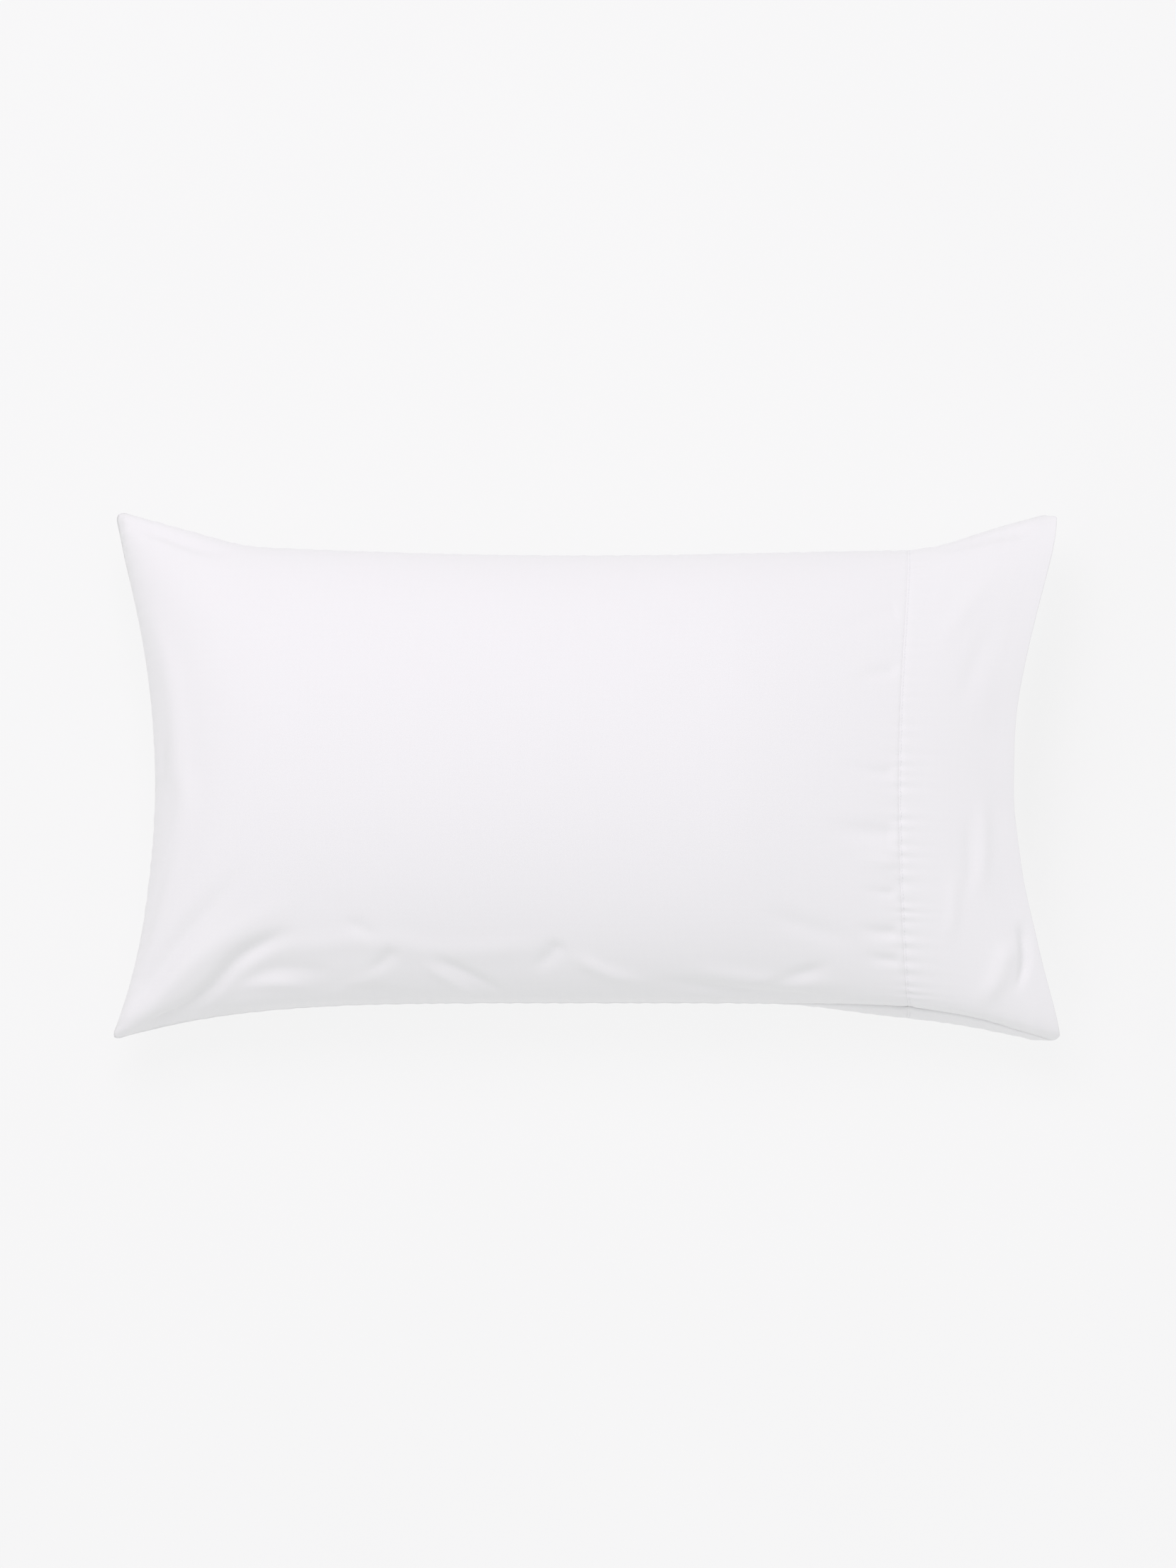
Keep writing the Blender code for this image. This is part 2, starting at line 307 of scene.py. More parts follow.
# %% [markdown]
# ## A smooth surface through the bag
#
# The bag is coarse, one point every 8 mm. A cubic B-spline through its points gives a surface that is
# smooth enough for clean shading, and its place and normal can be read anywhere on the flat cloth. Both
# layers read the same points along a seam, so they meet there with no gap.

# %% Reading the surface
def spline_weights(fraction):
    """The weights of the four grid points round a place, and how fast each changes."""
    f = fraction[..., None]
    weights = np.concatenate([(1 - f) ** 3, 3 * f**3 - 6 * f**2 + 4,
                              -3 * f**3 + 3 * f**2 + 3 * f + 1, f**3], -1)
    slopes = np.concatenate([-3 * (1 - f) ** 2, 9 * f**2 - 12 * f, -9 * f**2 + 6 * f + 3, 3 * f**2], -1)
    return weights / 6, slopes / 6


class Surface:
    """One layer of a bag as a smooth surface over its flat cloth."""

    def __init__(self, points, flat_length, flat_width, side):
        self.cells = np.array(points.shape[:2]) - 1
        self.size = np.array([flat_length, flat_width])
        self.side = side
        ends = [(2 * points[:1] - points[1:2]), points, (2 * points[-1:] - points[-2:-1])]
        padded = np.concatenate(ends, 0)
        sides = [2 * padded[:, :1] - padded[:, 1:2], padded, 2 * padded[:, -1:] - padded[:, -2:-1]]
        self.points = np.concatenate(sides, 1)

    def at(self, x, y):
        """Places and outward normals at flat places x, y, which are arrays of one shape."""
        where = (np.stack([x, y], -1) / self.size + 0.5) * self.cells
        cell = np.clip(np.floor(where), 0, self.cells - 1).astype(int)
        fraction = where - cell
        wx, sx = spline_weights(fraction[..., 0])
        wy, sy = spline_weights(fraction[..., 1])
        place = np.zeros(x.shape + (3,))
        along, across = place.copy(), place.copy()
        for i in range(4):
            for j in range(4):
                point = self.points[cell[..., 0] + i, cell[..., 1] + j]
                place += (wx[..., i] * wy[..., j])[..., None] * point
                along += (sx[..., i] * wy[..., j])[..., None] * point
                across += (wx[..., i] * sy[..., j])[..., None] * point
        normal = np.cross(along, across) * self.side
        return place, normal / np.maximum(np.linalg.norm(normal, axis=-1, keepdims=True), 1e-12)


case = {side: Surface(bag[side], FLAT_LENGTH, FLAT_WIDTH, side) for side in (1, -1)}
crown, up = case[1].at(np.array([0.0]), np.array([0.0]))
print("crown", crown.round(4), "normal", up.round(3))

# %% [markdown]
# ## Folds as brush strokes
#
# The folds of a pillowcase start at its corners and seams, where the cloth is gathered, and die out on the
# full part. Each one is a stroke, as a sculptor would make it: a few points in plan, a height (negative
# for a valley), a width, and how sharply it fades at its start and its end. Lengths are in millimetres.
# They stay geometry, so they show in any light and in the mesh.

# %% Strokes in plan
def smooth_step(value):
    """From 0 to 1 as a value does, level at both ends."""
    value = np.clip(value, 0, 1)
    return value * value * (3 - 2 * value)


def smooth_path(points, pieces=6):
    """A Catmull-Rom curve through a few points."""
    p = np.array(points, float)
    p = np.concatenate([2 * p[:1] - p[1:2], p, 2 * p[-1:] - p[-2:-1]])
    share = np.linspace(0, 1, pieces, endpoint=False)[:, None]
    curve = []
    for a, b, c, d in zip(p, p[1:], p[2:], p[3:]):
        curve.append(0.5 * (2 * b + (c - a) * share + (2 * a - 5 * b + 4 * c - d) * share**2
                            + (3 * b - 3 * c + d - a) * share**3))
    return np.concatenate([*curve, p[-2:-1]])


def along_path(x, y, path):
    """The signed distance from a path, positive on its left, and the share of the way along it."""
    steps = np.diff(path, axis=0)
    lengths = np.linalg.norm(steps, axis=1)
    reached = np.concatenate([[0], np.cumsum(lengths)])
    nearest, distance, share = np.full(x.shape, np.inf), np.zeros(x.shape), np.zeros(x.shape)
    for start, step, length, before in zip(path, steps, lengths, reached):
        dx, dy = x - start[0], y - start[1]
        s = np.clip((dx * step[0] + dy * step[1]) / length**2, 0, 1)
        off = np.hypot(dx - s * step[0], dy - s * step[1])
        closer = off < nearest
        nearest = np.where(closer, off, nearest)
        distance = np.where(closer, off * np.sign(step[0] * dy - step[1] * dx), distance)
        share = np.where(closer, (before + s * length) / reached[-1], share)
    return distance, share


def stroke(x, y, height, width, points, fades=(0.3, 0.5)):
    """The relief of one fold, in metres, at places x, y in plan. Its points are in millimetres."""
    distance, share = along_path(x / MM, y / MM, smooth_path(points))
    ends = smooth_step(share / fades[0]) * smooth_step((1 - share) / fades[1])
    return height * MM * np.exp(-((distance / width) ** 2)) * ends


# %% The folds of the front
FRONT_FOLDS = (
    # Lower left ear: a deep valley with a ridge above it, and a softer valley beside that.
    (-8.5, 8, [(-404, -236), (-361, -218), (-333, -196), (-306, -166), (-276, -148), (-246, -138)],
     (0.2, 0.35)),
    (3.6, 11, [(-412, -232), (-343, -166), (-290, -129), (-240, -108)], (0.2, 0.6)),
    (-4.5, 13, [(-372, -236), (-330, -214), (-296, -186), (-262, -168), (-222, -166)], (0.3, 0.5)),
    (-4.6, 9, [(-407, -219), (-359, -151), (-327, -113), (-290, -68)], (0.2, 0.6)),
    (2.2, 10, [(-405, -200), (-372, -140), (-345, -96), (-318, -50)], (0.3, 0.6)),
    # Closed end: the line where the cloth turns down, and shallow folds that run up from the same ear.
    (3.4, 10, [(-398, 176), (-374, 110), (-364, 60), (-360, 10), (-356, -30), (-374, -100), (-398, -170)],
     (0.3, 0.3)),
    (-2.6, 6, [(-404, -190), (-380, -110), (-364, -68), (-348, -30)], (0.3, 0.5)),
    (-2.4, 5, [(-388, -40), (-378, -4), (-372, 50)], (0.4, 0.5)),
    # Lower side: the cloth turns down in a crumpled band.
    (1.5, 10, [(-290, -160), (-240, -154), (-190, -148), (-130, -158), (-70, -156), (-22, -148)], (0.2, 0.2)),
    (-2.0, 7, [(-300, -182), (-262, -176), (-215, -178)], (0.4, 0.4)),
    (2.0, 5, [(-318, -198), (-276, -188), (-236, -192)], (0.4, 0.4)),
    (-2.6, 6, [(-168, -152), (-176, -166), (-194, -180)], (0.3, 0.5)),
    (3.0, 5, [(-148, -166), (-120, -184), (-84, -208)], (0.4, 0.4)),
    (-3.0, 4.5, [(-140, -160), (-104, -178), (-60, -203)], (0.4, 0.4)),
    (-2.8, 7, [(-20, -148), (-30, -162), (-48, -178)], (0.25, 0.5)),
    (3.0, 6, [(-14, -160), (20, -178), (66, -190)], (0.3, 0.5)),
    (-2.2, 5, [(-225, -190), (-180, -196), (-130, -206)], (0.4, 0.4)),
    (-1.6, 7, [(-216, -128), (-190, -142), (-176, -152)], (0.4, 0.4)),
    (1.6, 6, [(-240, -204), (-196, -186), (-170, -174)], (0.4, 0.4)),
    (-3.4, 5, [(60, -184), (120, -193), (161, -198), (232, -204)], (0.3, 0.3)),
    (2.6, 7, [(80, -172), (130, -181), (176, -186), (246, -190)], (0.4, 0.4)),
    (-2.6, 6, [(150, -192), (185, -182), (224, -169)], (0.4, 0.4)),
    (-1.6, 9, [(150, -120), (196, -136), (248, -152)], (0.4, 0.4)),
    # Beside the hem, where its stitches draw the cloth in.
    (-1.8, 5, [(284, 3), (258, 4), (222, 12)], (0.05, 0.8)),
    (-2.8, 9, [(284, -54), (248, -50), (205, -44)], (0.05, 0.7)),
    (1.6, 6, [(283, -80), (256, -76), (236, -70)], (0.05, 0.8)),
    (-2.0, 4, [(284, -106), (262, -105), (240, -100)], (0.05, 0.8)),
    (-2.8, 6, [(282, -142), (258, -141), (236, -134)], (0.05, 0.7)),
    (-2.2, 5, [(280, -168), (258, -165), (244, -158)], (0.05, 0.7)),
    (-1.8, 6, [(282, 96), (256, 92), (232, 84)], (0.05, 0.8)),
    (-1.2, 8, [(280, 150), (250, 142), (216, 128)], (0.05, 0.8)),
    # Upper ears, creased where they leave the full part.
    (-4.2, 6, [(-416, 233), (-378, 221), (-342, 208), (-300, 199)], (0.3, 0.5)),
    (-3.2, 6, [(300, 203), (326, 209), (364, 219), (408, 226)], (0.5, 0.2)),
)

HEM_FOLDS = (
    (1.5, 6, [(352, -10), (355, -60), (352, -116)], (0.4, 0.4)),
    (-1.2, 6, [(340, -30), (342, -80), (338, -120)], (0.4, 0.4)),
    (1.4, 6, [(326, -80), (327, -120), (322, -158)], (0.4, 0.4)),
    (-4.0, 4, [(385, -128), (390, -152), (390, -176), (382, -200)], (0.3, 0.4)),
    (3.4, 9, [(378, -146), (368, -182), (350, -214)], (0.3, 0.4)),
    (-1.2, 9, [(330, 50), (350, 105), (376, 160)], (0.4, 0.5)),
    (1.2, 9, [(312, 110), (342, 155), (378, 198)], (0.4, 0.5)),
    (-3.2, 6, [(300, 203), (326, 209), (364, 219), (408, 226)], (0.5, 0.2)),
)


CAMERA_ELEVATION = math.radians(79)
DRAWN_AT, DRAWN_PAST = 80 * MM, 4.5 * MM


def folds(place, strokes):
    """The relief of some strokes. They are drawn as the camera sees them, which shifts high places away."""
    x = place[..., 0]
    y = place[..., 1] + (place[..., 2] - DRAWN_AT) / math.tan(CAMERA_ELEVATION) + DRAWN_PAST
    total = np.zeros(x.shape)
    for height, width, points, fades in strokes:
        total += stroke(x, y, height, width, points, fades)
    return total


# %% [markdown]
# ## Puckers
#
# A row of lockstitches shortens the cloth under it a little, and the spare cloth rises in small puckers
# across the row, one for every four or so stitches. They are strongest on the stitched line and fade
# within a finger's width. Sums of sines with unrelated lengths keep them from looking like a comb.

# %% Relief from seams
def uneven_wave(along, length, phase=0.0):
    """A wave of about that length whose spacing and height wander."""
    turn = 2 * math.pi / length
    wander = 1.1 * np.sin(turn * along / 5.7 + 0.6 + phase) + 0.8 * np.sin(turn * along / 3.4 + 2.0)
    height = 0.72 + 0.28 * np.sin(turn * along / 2.3 + 1.0 + 2 * phase)
    return height * np.sin(turn * along + wander + phase)


HEM_PUCKER, SEAM_PUCKER = 12.5 * MM, 17 * MM
HEM_PUCKER_HEIGHT, SEAM_PUCKER_HEIGHT = 1.0 * MM, 0.7 * MM
REACH_ON_PANEL, REACH_ON_HEM = 8 * MM, 13 * MM
HEM_STITCH_INSET, HEM_GROOVE, HEM_GROOVE_WIDTH = 2.2 * MM, 0.6 * MM, 2.6 * MM
LEAST_DRAWN, DRAWN_BELOW, DRAWN_OVER = 0.4, 60 * MM, 90 * MM
SEAM_RISE, SEAM_FADE = 3 * MM, 15 * MM


def hem_puckers(x, y, phase=0.0):
    """The relief on both sides of the hem's stitched line, at flat places x, y. The upper side has least."""
    from_line = x - HEM_X - HEM_STITCH_INSET
    reach = np.where(from_line > 0, REACH_ON_HEM, REACH_ON_PANEL)
    drawn = LEAST_DRAWN + (1 - LEAST_DRAWN) * smooth_step((DRAWN_BELOW - y) / DRAWN_OVER)
    groove = -HEM_GROOVE * np.exp(-((from_line / HEM_GROOVE_WIDTH) ** 2))
    waves = HEM_PUCKER_HEIGHT * uneven_wave(y, HEM_PUCKER, phase) * np.exp(-np.abs(from_line) / reach)
    return groove + drawn * waves


def seam_puckers(x, y):
    """The relief along the two side seams and the closed end, at flat places x, y. A seam itself has none."""
    total = np.zeros(x.shape)
    seams = ((HALF_FLAT_Y - y, x, 0.4), (HALF_FLAT_Y + y, x, 2.3), (HALF_FLAT_X + x, y, 4.1))
    for to_seam, along, phase in seams:
        fade = (1 - np.exp(-to_seam / SEAM_RISE)) * np.exp(-to_seam / SEAM_FADE)
        total += SEAM_PUCKER_HEIGHT * uneven_wave(along, SEAM_PUCKER, phase) * fade
    return total


# %% [markdown]
# ## Corners and the rolled lower edge
#
# A sewn corner is never sharp once it is turned right side out: it rounds to a few millimetres. Near the
# mouth the lower side seam has rolled up onto the front, so that a narrow strip of the back panel shows
# below it. Both are moves of finished points that die out away from the edge. The hem is gathered in the
# middle, so the cloth there has slipped towards the mouth, and the hem line runs almost straight.

# %% Moves of the finished points
CORNER_RADIUS = 14 * MM
ROLL_UP, ROLL_IN, BELLY_OUT, BELLY_REACH = 9 * MM, 1 * MM, 9 * MM, 16 * MM
ROLL_START, ROLL_GROWS_OVER = 165 * MM, 130 * MM
ROLL_PAST_MOUTH, ROLL_ENDS_OVER = 6 * MM, 32 * MM
ROLL_REACH_FRONT, ROLL_REACH_BACK = 34 * MM, 9 * MM
UPPER_LIP_PAST, LIP_REACH = 2 * MM, 25 * MM
FLOOR_GAP = 0.3 * MM
HEM_SLIP = 24 * MM


def rounded_corners(place, x, y):
    """Draws the corners of the bag in to a round, as a square is mapped to a disc."""
    a = np.clip((np.abs(x) - HALF_FLAT_X + CORNER_RADIUS) / CORNER_RADIUS, 0, 1)
    b = np.clip((np.abs(y) - HALF_FLAT_Y + CORNER_RADIUS) / CORNER_RADIUS, 0, 1)
    place[..., 0] -= np.sign(x) * CORNER_RADIUS * a * (1 - np.sqrt(1 - b * b / 2))
    place[..., 1] -= np.sign(y) * CORNER_RADIUS * b * (1 - np.sqrt(1 - a * a / 2))
    return place


def rolled_edge(place, x, y, side):
    """Lifts the lower side seam near the mouth and draws it in, and lets the back panel bulge below it."""
    to_seam = HALF_FLAT_Y + y
    grows = smooth_step((x - ROLL_START) / ROLL_GROWS_OVER)
    where = grows * smooth_step((HALF_FLAT_X + ROLL_PAST_MOUTH - x) / ROLL_ENDS_OVER)
    fade = where * np.exp(-to_seam / (ROLL_REACH_FRONT if side > 0 else ROLL_REACH_BACK))
    place[..., 2] += ROLL_UP * fade
    place[..., 1] += ROLL_IN * fade
    if side < 0:
        place[..., 1] -= BELLY_OUT * where * to_seam / BELLY_REACH * np.exp(1 - to_seam / BELLY_REACH)
    return place


def slipped(x, y):
    """Flat x moved towards the mouth in the middle, where the hem is gathered and the panel drawn tight."""
    middle = np.clip(1 - (y / HALF_FLAT_Y) ** 2, 0, 1) ** 1.5
    share = np.where(x < HEM_X, smooth_step(x / HEM_X), (HALF_FLAT_X - x) / HEM_DEPTH)
    return x + HEM_SLIP * middle * share


def case_points(x, y, side, relief):
    """Finished points of the case at flat places x, y, with relief added along the normal."""
    place, normal = case[side].at(slipped(x, y), y)
    height = relief(x, y, place) + seam_puckers(x, y)
    place = place + normal * height[..., None]
    place = rounded_corners(place, x, y)
    place = rolled_edge(place, x, y, side)
    if side > 0:
        place[..., 0] += UPPER_LIP_PAST * smooth_step((x - HALF_FLAT_X + LIP_REACH) / LIP_REACH)
    place[..., 2] = np.maximum(place[..., 2], FLOOR_GAP)
    return place


# %% [markdown]
# ## Grids of cloth
#
# Every piece of cloth is a grid whose rows and columns are chosen where they are needed: close together
# beside the hem line, wider on the plain part. It carries its flat place as a UV map, in metres, so that the
# weave in the material follows the cloth. A Solidify modifier gives the cloth its thickness inwards.

# %% Making a piece of cloth
def spaced(start, end, step):
    """Places from start to end, no more than step apart."""
    return np.linspace(start, end, max(2, math.ceil((end - start) / step - 1e-9) + 1))


def lay_map(faces, cloth_map, flat):
    """Gives every corner of some faces its flat place on the cloth, from a table by vertex."""
    for face in faces:
        for loop in face.loops:
            loop[cloth_map].uv = flat[loop.vert]


def cloth_piece(name, columns, rows, points_at, side, thickness, finish):
    """A grid of cloth over flat places columns by rows, as a new object."""
    x, y = np.meshgrid(columns, rows, indexing="ij")
    points = points_at(x, y)
    bm = bmesh.new()
    flat = {}
    for vertex, column, row in new_grid(bm, len(columns) - 1, len(rows) - 1):
        flat[vertex] = (columns[column], rows[row])
        vertex.co = points[column, row]
    if side < 0:
        bmesh.ops.reverse_faces(bm, faces=bm.faces[:])
    lay_map(bm.faces, bm.loops.layers.uv.new("cloth"), flat)
    piece = new_object(name, bm)
    if thickness:
        ply = piece.modifiers.new("ply", "SOLIDIFY")
        ply.thickness = thickness
        ply.offset = -1
    piece.data.materials.append(finish)
    print(name, len(piece.data.vertices), "points,", len(piece.data.polygons), "faces")
    return piece


# %% [markdown]
# ## Finishes
#
# Every finish is a real textile. Cotton percale is a close plain weave of fine combed yarn: it scatters
# light almost evenly, with a faint sheen at grazing angles from the fibre ends. Its yarns are about 0.25 mm
# apart, too fine to show from where a pillow is seen, so they are drawn coarser and kept very low.
# Colours are sRGB hex values that one function turns to linear.

# %% Helpers for materials
def linear(hex_colour):
    """Linear RGBA from an sRGB hex colour."""
    channels = [int(hex_colour[i:i + 2], 16) / 255 for i in (1, 3, 5)]
    return (*[c / 12.92 if c <= 0.04045 else ((c + 0.055) / 1.055) ** 2.4 for c in channels], 1.0)


def add_node(tree, kind, inputs=None, **settings):
    """A new node. Each input is a value, or another node's output to link from."""
    node = tree.nodes.new(kind)
    for name, value in settings.items():
        setattr(node, name, value)
    for name, value in (inputs or {}).items():
        if isinstance(value, bpy.types.NodeSocket):
            tree.links.new(value, node.inputs[name])
        else:
            node.inputs[name].default_value = value
    return node


def new_material(name, **shader_values):
    """A material and its node tree and shader, with the shader's own values set."""
    made = bpy.data.materials.new(name)
    made.use_nodes = True
    shader = made.node_tree.nodes["Principled BSDF"]
    for socket, value in shader_values.items():
        shader.inputs[socket.replace("_", " ")].default_value = value
    return made, made.node_tree, shader


def threads(tree, cloth, pitch):
    """The height of a plain weave: yarns pitch apart that pass over and under each other."""
    scaled = add_node(tree, "ShaderNodeVectorMath", {0: cloth, 1: (math.pi / pitch,) * 3},
                      operation="MULTIPLY")
    waves = add_node(tree, "ShaderNodeVectorMath", {0: scaled.outputs[0]}, operation="SINE")
    parts = add_node(tree, "ShaderNodeSeparateXYZ", {0: waves.outputs[0]})
    return add_node(tree, "ShaderNodeMath", {0: parts.outputs[0], 1: parts.outputs[1]}, operation="MULTIPLY")


def streaks(tree, cloth, across, along, seed):
    """Noise drawn out along the yarns: thicker and thinner yarn, across apart and along long."""
    scale = add_node(tree, "ShaderNodeVectorMath", {0: cloth, 1: (1 / along, 1 / across, 1)},
                     operation="MULTIPLY")
    shift = add_node(tree, "ShaderNodeVectorMath", {0: scale.outputs[0], 1: (seed, seed * 1.7, seed)},
                     operation="ADD")
    return add_node(tree, "ShaderNodeTexNoise", {"Vector": shift.outputs[0], "Scale": 1.0, "Detail": 2.0})


def cloth_place(tree):
    """The flat place on the cloth, in metres."""
    return add_node(tree, "ShaderNodeUVMap", uv_map="cloth").outputs["UV"]


def ripple(tree, angle):
    """A height from 0 to 1 that follows the sine of an angle."""
    wave = add_node(tree, "ShaderNodeMath", {0: angle}, operation="SINE")
    share = add_node(tree, "ShaderNodeMapRange", {"Value": wave.outputs[0], "From Min": -1.0,
                                                  "From Max": 1.0})
    return share.outputs[0]


def tone(tree, factor, low, high):
    """A colour between two close shades."""
    ramp = add_node(tree, "ShaderNodeValToRGB", {"Fac": factor})
    ramp.color_ramp.elements[0].position, ramp.color_ramp.elements[1].position = 0.3, 0.7
    ramp.color_ramp.elements[0].color, ramp.color_ramp.elements[1].color = linear(low), linear(high)
    return ramp.outputs["Color"]


def shade_and_bump(tree, shader, height, low, high, lift, strength=1.0):
    """Gives a shader two close shades and a bump of some lift, both from one height."""
    tree.links.new(tone(tree, height, low, high), shader.inputs["Base Color"])
    bump = add_node(tree, "ShaderNodeBump", {"Height": height, "Distance": lift, "Strength": strength})
    tree.links.new(bump.outputs["Normal"], shader.inputs["Normal"])


# %% Woven cotton
YARN_PITCH = 0.25 * MM
DRAWN_PITCH = 3 * YARN_PITCH  # three yarns drawn as one, or they would not show at all


def woven_cotton(name, low, high, pitch, lift, roughness, sheen):
    """A plain-woven cotton: combed yarn, bleached white, pressed flat."""
    made, tree, shader = new_material(name, Roughness=roughness, Sheen_Weight=sheen, Sheen_Roughness=0.45,
                                      IOR=1.5, Specular_IOR_Level=0.3)
    cloth = cloth_place(tree)
    weft = streaks(tree, cloth, across=2.2 * MM, along=60 * MM, seed=3.0)
    warp = streaks(tree, cloth, across=60 * MM, along=2.6 * MM, seed=8.0)
    yarns = add_node(tree, "ShaderNodeMath", {0: weft.outputs["Fac"], 1: warp.outputs["Fac"]},
                     operation="ADD")
    half = add_node(tree, "ShaderNodeMath", {0: yarns.outputs[0], 1: 0.5}, operation="MULTIPLY")
    tree.links.new(tone(tree, half.outputs[0], low, high), shader.inputs["Base Color"])
    weave = threads(tree, cloth, pitch)
    fine = add_node(tree, "ShaderNodeBump", {"Height": weave.outputs[0], "Distance": lift, "Strength": 0.5})
    slubs = add_node(tree, "ShaderNodeBump", {"Height": half.outputs[0], "Distance": 0.02 * MM,
                                              "Strength": 0.4, "Normal": fine.outputs["Normal"]})
    tree.links.new(slubs.outputs["Normal"], shader.inputs["Normal"])
    return made


percale = woven_cotton("cotton_percale", "#F3F3F3", "#F4F4F4", DRAWN_PITCH, 0.03 * MM, 0.85, 0.12)
hem_percale = woven_cotton("cotton_percale_double", "#F4F4F4", "#F5F5F5", DRAWN_PITCH, 0.03 * MM, 0.82, 0.12)
print("percale yarns drawn", round(DRAWN_PITCH / MM, 2), "mm apart")


# %% Ticking, piping, thread, ribbon and fibre
def twill_cotton(name, low, high):
    """Downproof ticking: a heavy herringbone twill whose bands lean one way and then the other."""
    made, tree, shader = new_material(name, Roughness=0.8, Sheen_Weight=0.1, Sheen_Roughness=0.4, IOR=1.5,
                                      Specular_IOR_Level=0.3)
    cloth = cloth_place(tree)
    place = add_node(tree, "ShaderNodeSeparateXYZ", {0: cloth})
    band_width, rib = 12 * MM, 1.6 * MM
    fold = add_node(tree, "ShaderNodeMath", {0: place.outputs[1], 1: band_width}, operation="PINGPONG")
    lean = add_node(tree, "ShaderNodeMath", {0: place.outputs[0], 1: fold.outputs[0]}, operation="ADD")
    turns = add_node(tree, "ShaderNodeMath", {0: lean.outputs[0], 1: 2 * math.pi / rib}, operation="MULTIPLY")
    shade_and_bump(tree, shader, ripple(tree, turns.outputs[0]), low, high, 0.12 * MM, 0.6)
    return made


def spun_thread(name, low, high, twist):
    """Two-ply sewing thread: two fine plies that wind round each other, with a slight gloss."""
    made, tree, shader = new_material(name, Roughness=0.5, Sheen_Weight=0.1, IOR=1.5)
    cloth = cloth_place(tree)
    place = add_node(tree, "ShaderNodeSeparateXYZ", {0: cloth})
    wound = add_node(tree, "ShaderNodeMath", {0: place.outputs[0], 1: 2 * math.pi / twist},
                     operation="MULTIPLY")
    round_it = add_node(tree, "ShaderNodeMath", {0: place.outputs[1], 1: 4 * math.pi, 2: wound.outputs[0]},
                        operation="MULTIPLY_ADD")
    shade_and_bump(tree, shader, ripple(tree, round_it.outputs[0]), low, high, 0.05 * MM, 0.5)
    return made


def satin_ribbon(name, low, high):
    """Woven satin ribbon: long floats of bright yarn, glossier along the ribbon than across it."""
    made, tree, shader = new_material(name, Roughness=0.38, Anisotropic=0.5, Sheen_Weight=0.15, IOR=1.5)
    cloth = cloth_place(tree)
    floats = streaks(tree, cloth, across=0.5 * MM, along=9 * MM, seed=5.0)
    shade_and_bump(tree, shader, floats.outputs["Fac"], low, high, 0.05 * MM)
    return made


def loose_fibre(name, low, high):
    """Crimped hollow polyester fibre: a soft white wad with a tangled surface."""
    made, tree, shader = new_material(name, Roughness=0.95, Sheen_Weight=0.4, Sheen_Roughness=0.6, IOR=1.5)
    place = add_node(tree, "ShaderNodeTexCoord").outputs["Object"]
    tangle = add_node(tree, "ShaderNodeTexNoise", {"Vector": place, "Scale": 1 / (9 * MM), "Detail": 5.0,
                                                   "Distortion": 1.5})
    shade_and_bump(tree, shader, tangle.outputs["Fac"], low, high, 1.5 * MM)
    return made


ticking_cotton = twill_cotton("cotton_ticking", "#E9E7E0", "#F3F1EB")
piping_cotton = woven_cotton("cotton_piping", "#E6E4DC", "#F0EEE7", DRAWN_PITCH, 0.05 * MM, 0.85, 0.1)
sewing_thread = spun_thread("polyester_thread", "#E9E9EC", "#FAFAFC", 1.2 * MM)
label_satin = satin_ribbon("satin_ribbon", "#EFEEE8", "#FAF9F4")
polyester_fibre = loose_fibre("polyester_fibre", "#EEEEEE", "#FAFAFA")

# %% [markdown]
# ## The case: panels
#
# The front panel is the piece that is seen most, so it has the finest grid and all of its folds. It runs
# on under the hem band for a few millimetres, as a sewn panel does, and dips there to make room for it.
# The back panel lies on the bed and is made the same way, with only its seams puckered.

# %% Front and back panels
PLY, HEM_PLY, HEM_PROUD = 0.5 * MM, 1.1 * MM, 0.4 * MM
UNDER_HEM, BAND_GAP = 7 * MM, 0.2 * MM
DIP_BEFORE, DIP_OVER = 0.3 * MM, 2.2 * MM
FINE_BEFORE_HEM = 22 * MM
HELD_WIDTH, FOLDS_END_BEFORE_HEM = 5 * MM, 12 * MM
BACK_PHASE, BACK_PUCKERS = 1.7, 0.8


def under_band(x):
    """How far the panel dips under the hem band."""
    return (HEM_PLY + BAND_GAP - HEM_PROUD) * smooth_step((x - HEM_X + DIP_BEFORE) / DIP_OVER)


def seams_hold(x, y):
    """From 0 on a seam, which holds the cloth level, to 1 a finger's width away from it."""
    to_seam = np.minimum(HALF_FLAT_Y - np.abs(y), HALF_FLAT_X + x)
    return 1 - np.exp(-((to_seam / HELD_WIDTH) ** 2))


def front_relief(x, y, place):
    """The relief of the front panel: its folds, its puckers at the hem and its dip under the band."""
    plain = folds(place, FRONT_FOLDS) * smooth_step((HEM_X - x) / FOLDS_END_BEFORE_HEM)
    return plain * seams_hold(x, y) + hem_puckers(x, y) - under_band(x)


def back_relief(x, y, place):
    """The relief of the back panel, which has no folds of its own."""
    return hem_puckers(x, y, BACK_PHASE) * BACK_PUCKERS - under_band(x)


def panel_columns(step, step_near_hem):
    """Places along a panel, closer together near the hem than on the plain part."""
    near_hem = HEM_X - FINE_BEFORE_HEM
    return np.concatenate([spaced(-HALF_FLAT_X, near_hem, step)[:-1],
                           spaced(near_hem, HEM_X + UNDER_HEM, step_near_hem)])


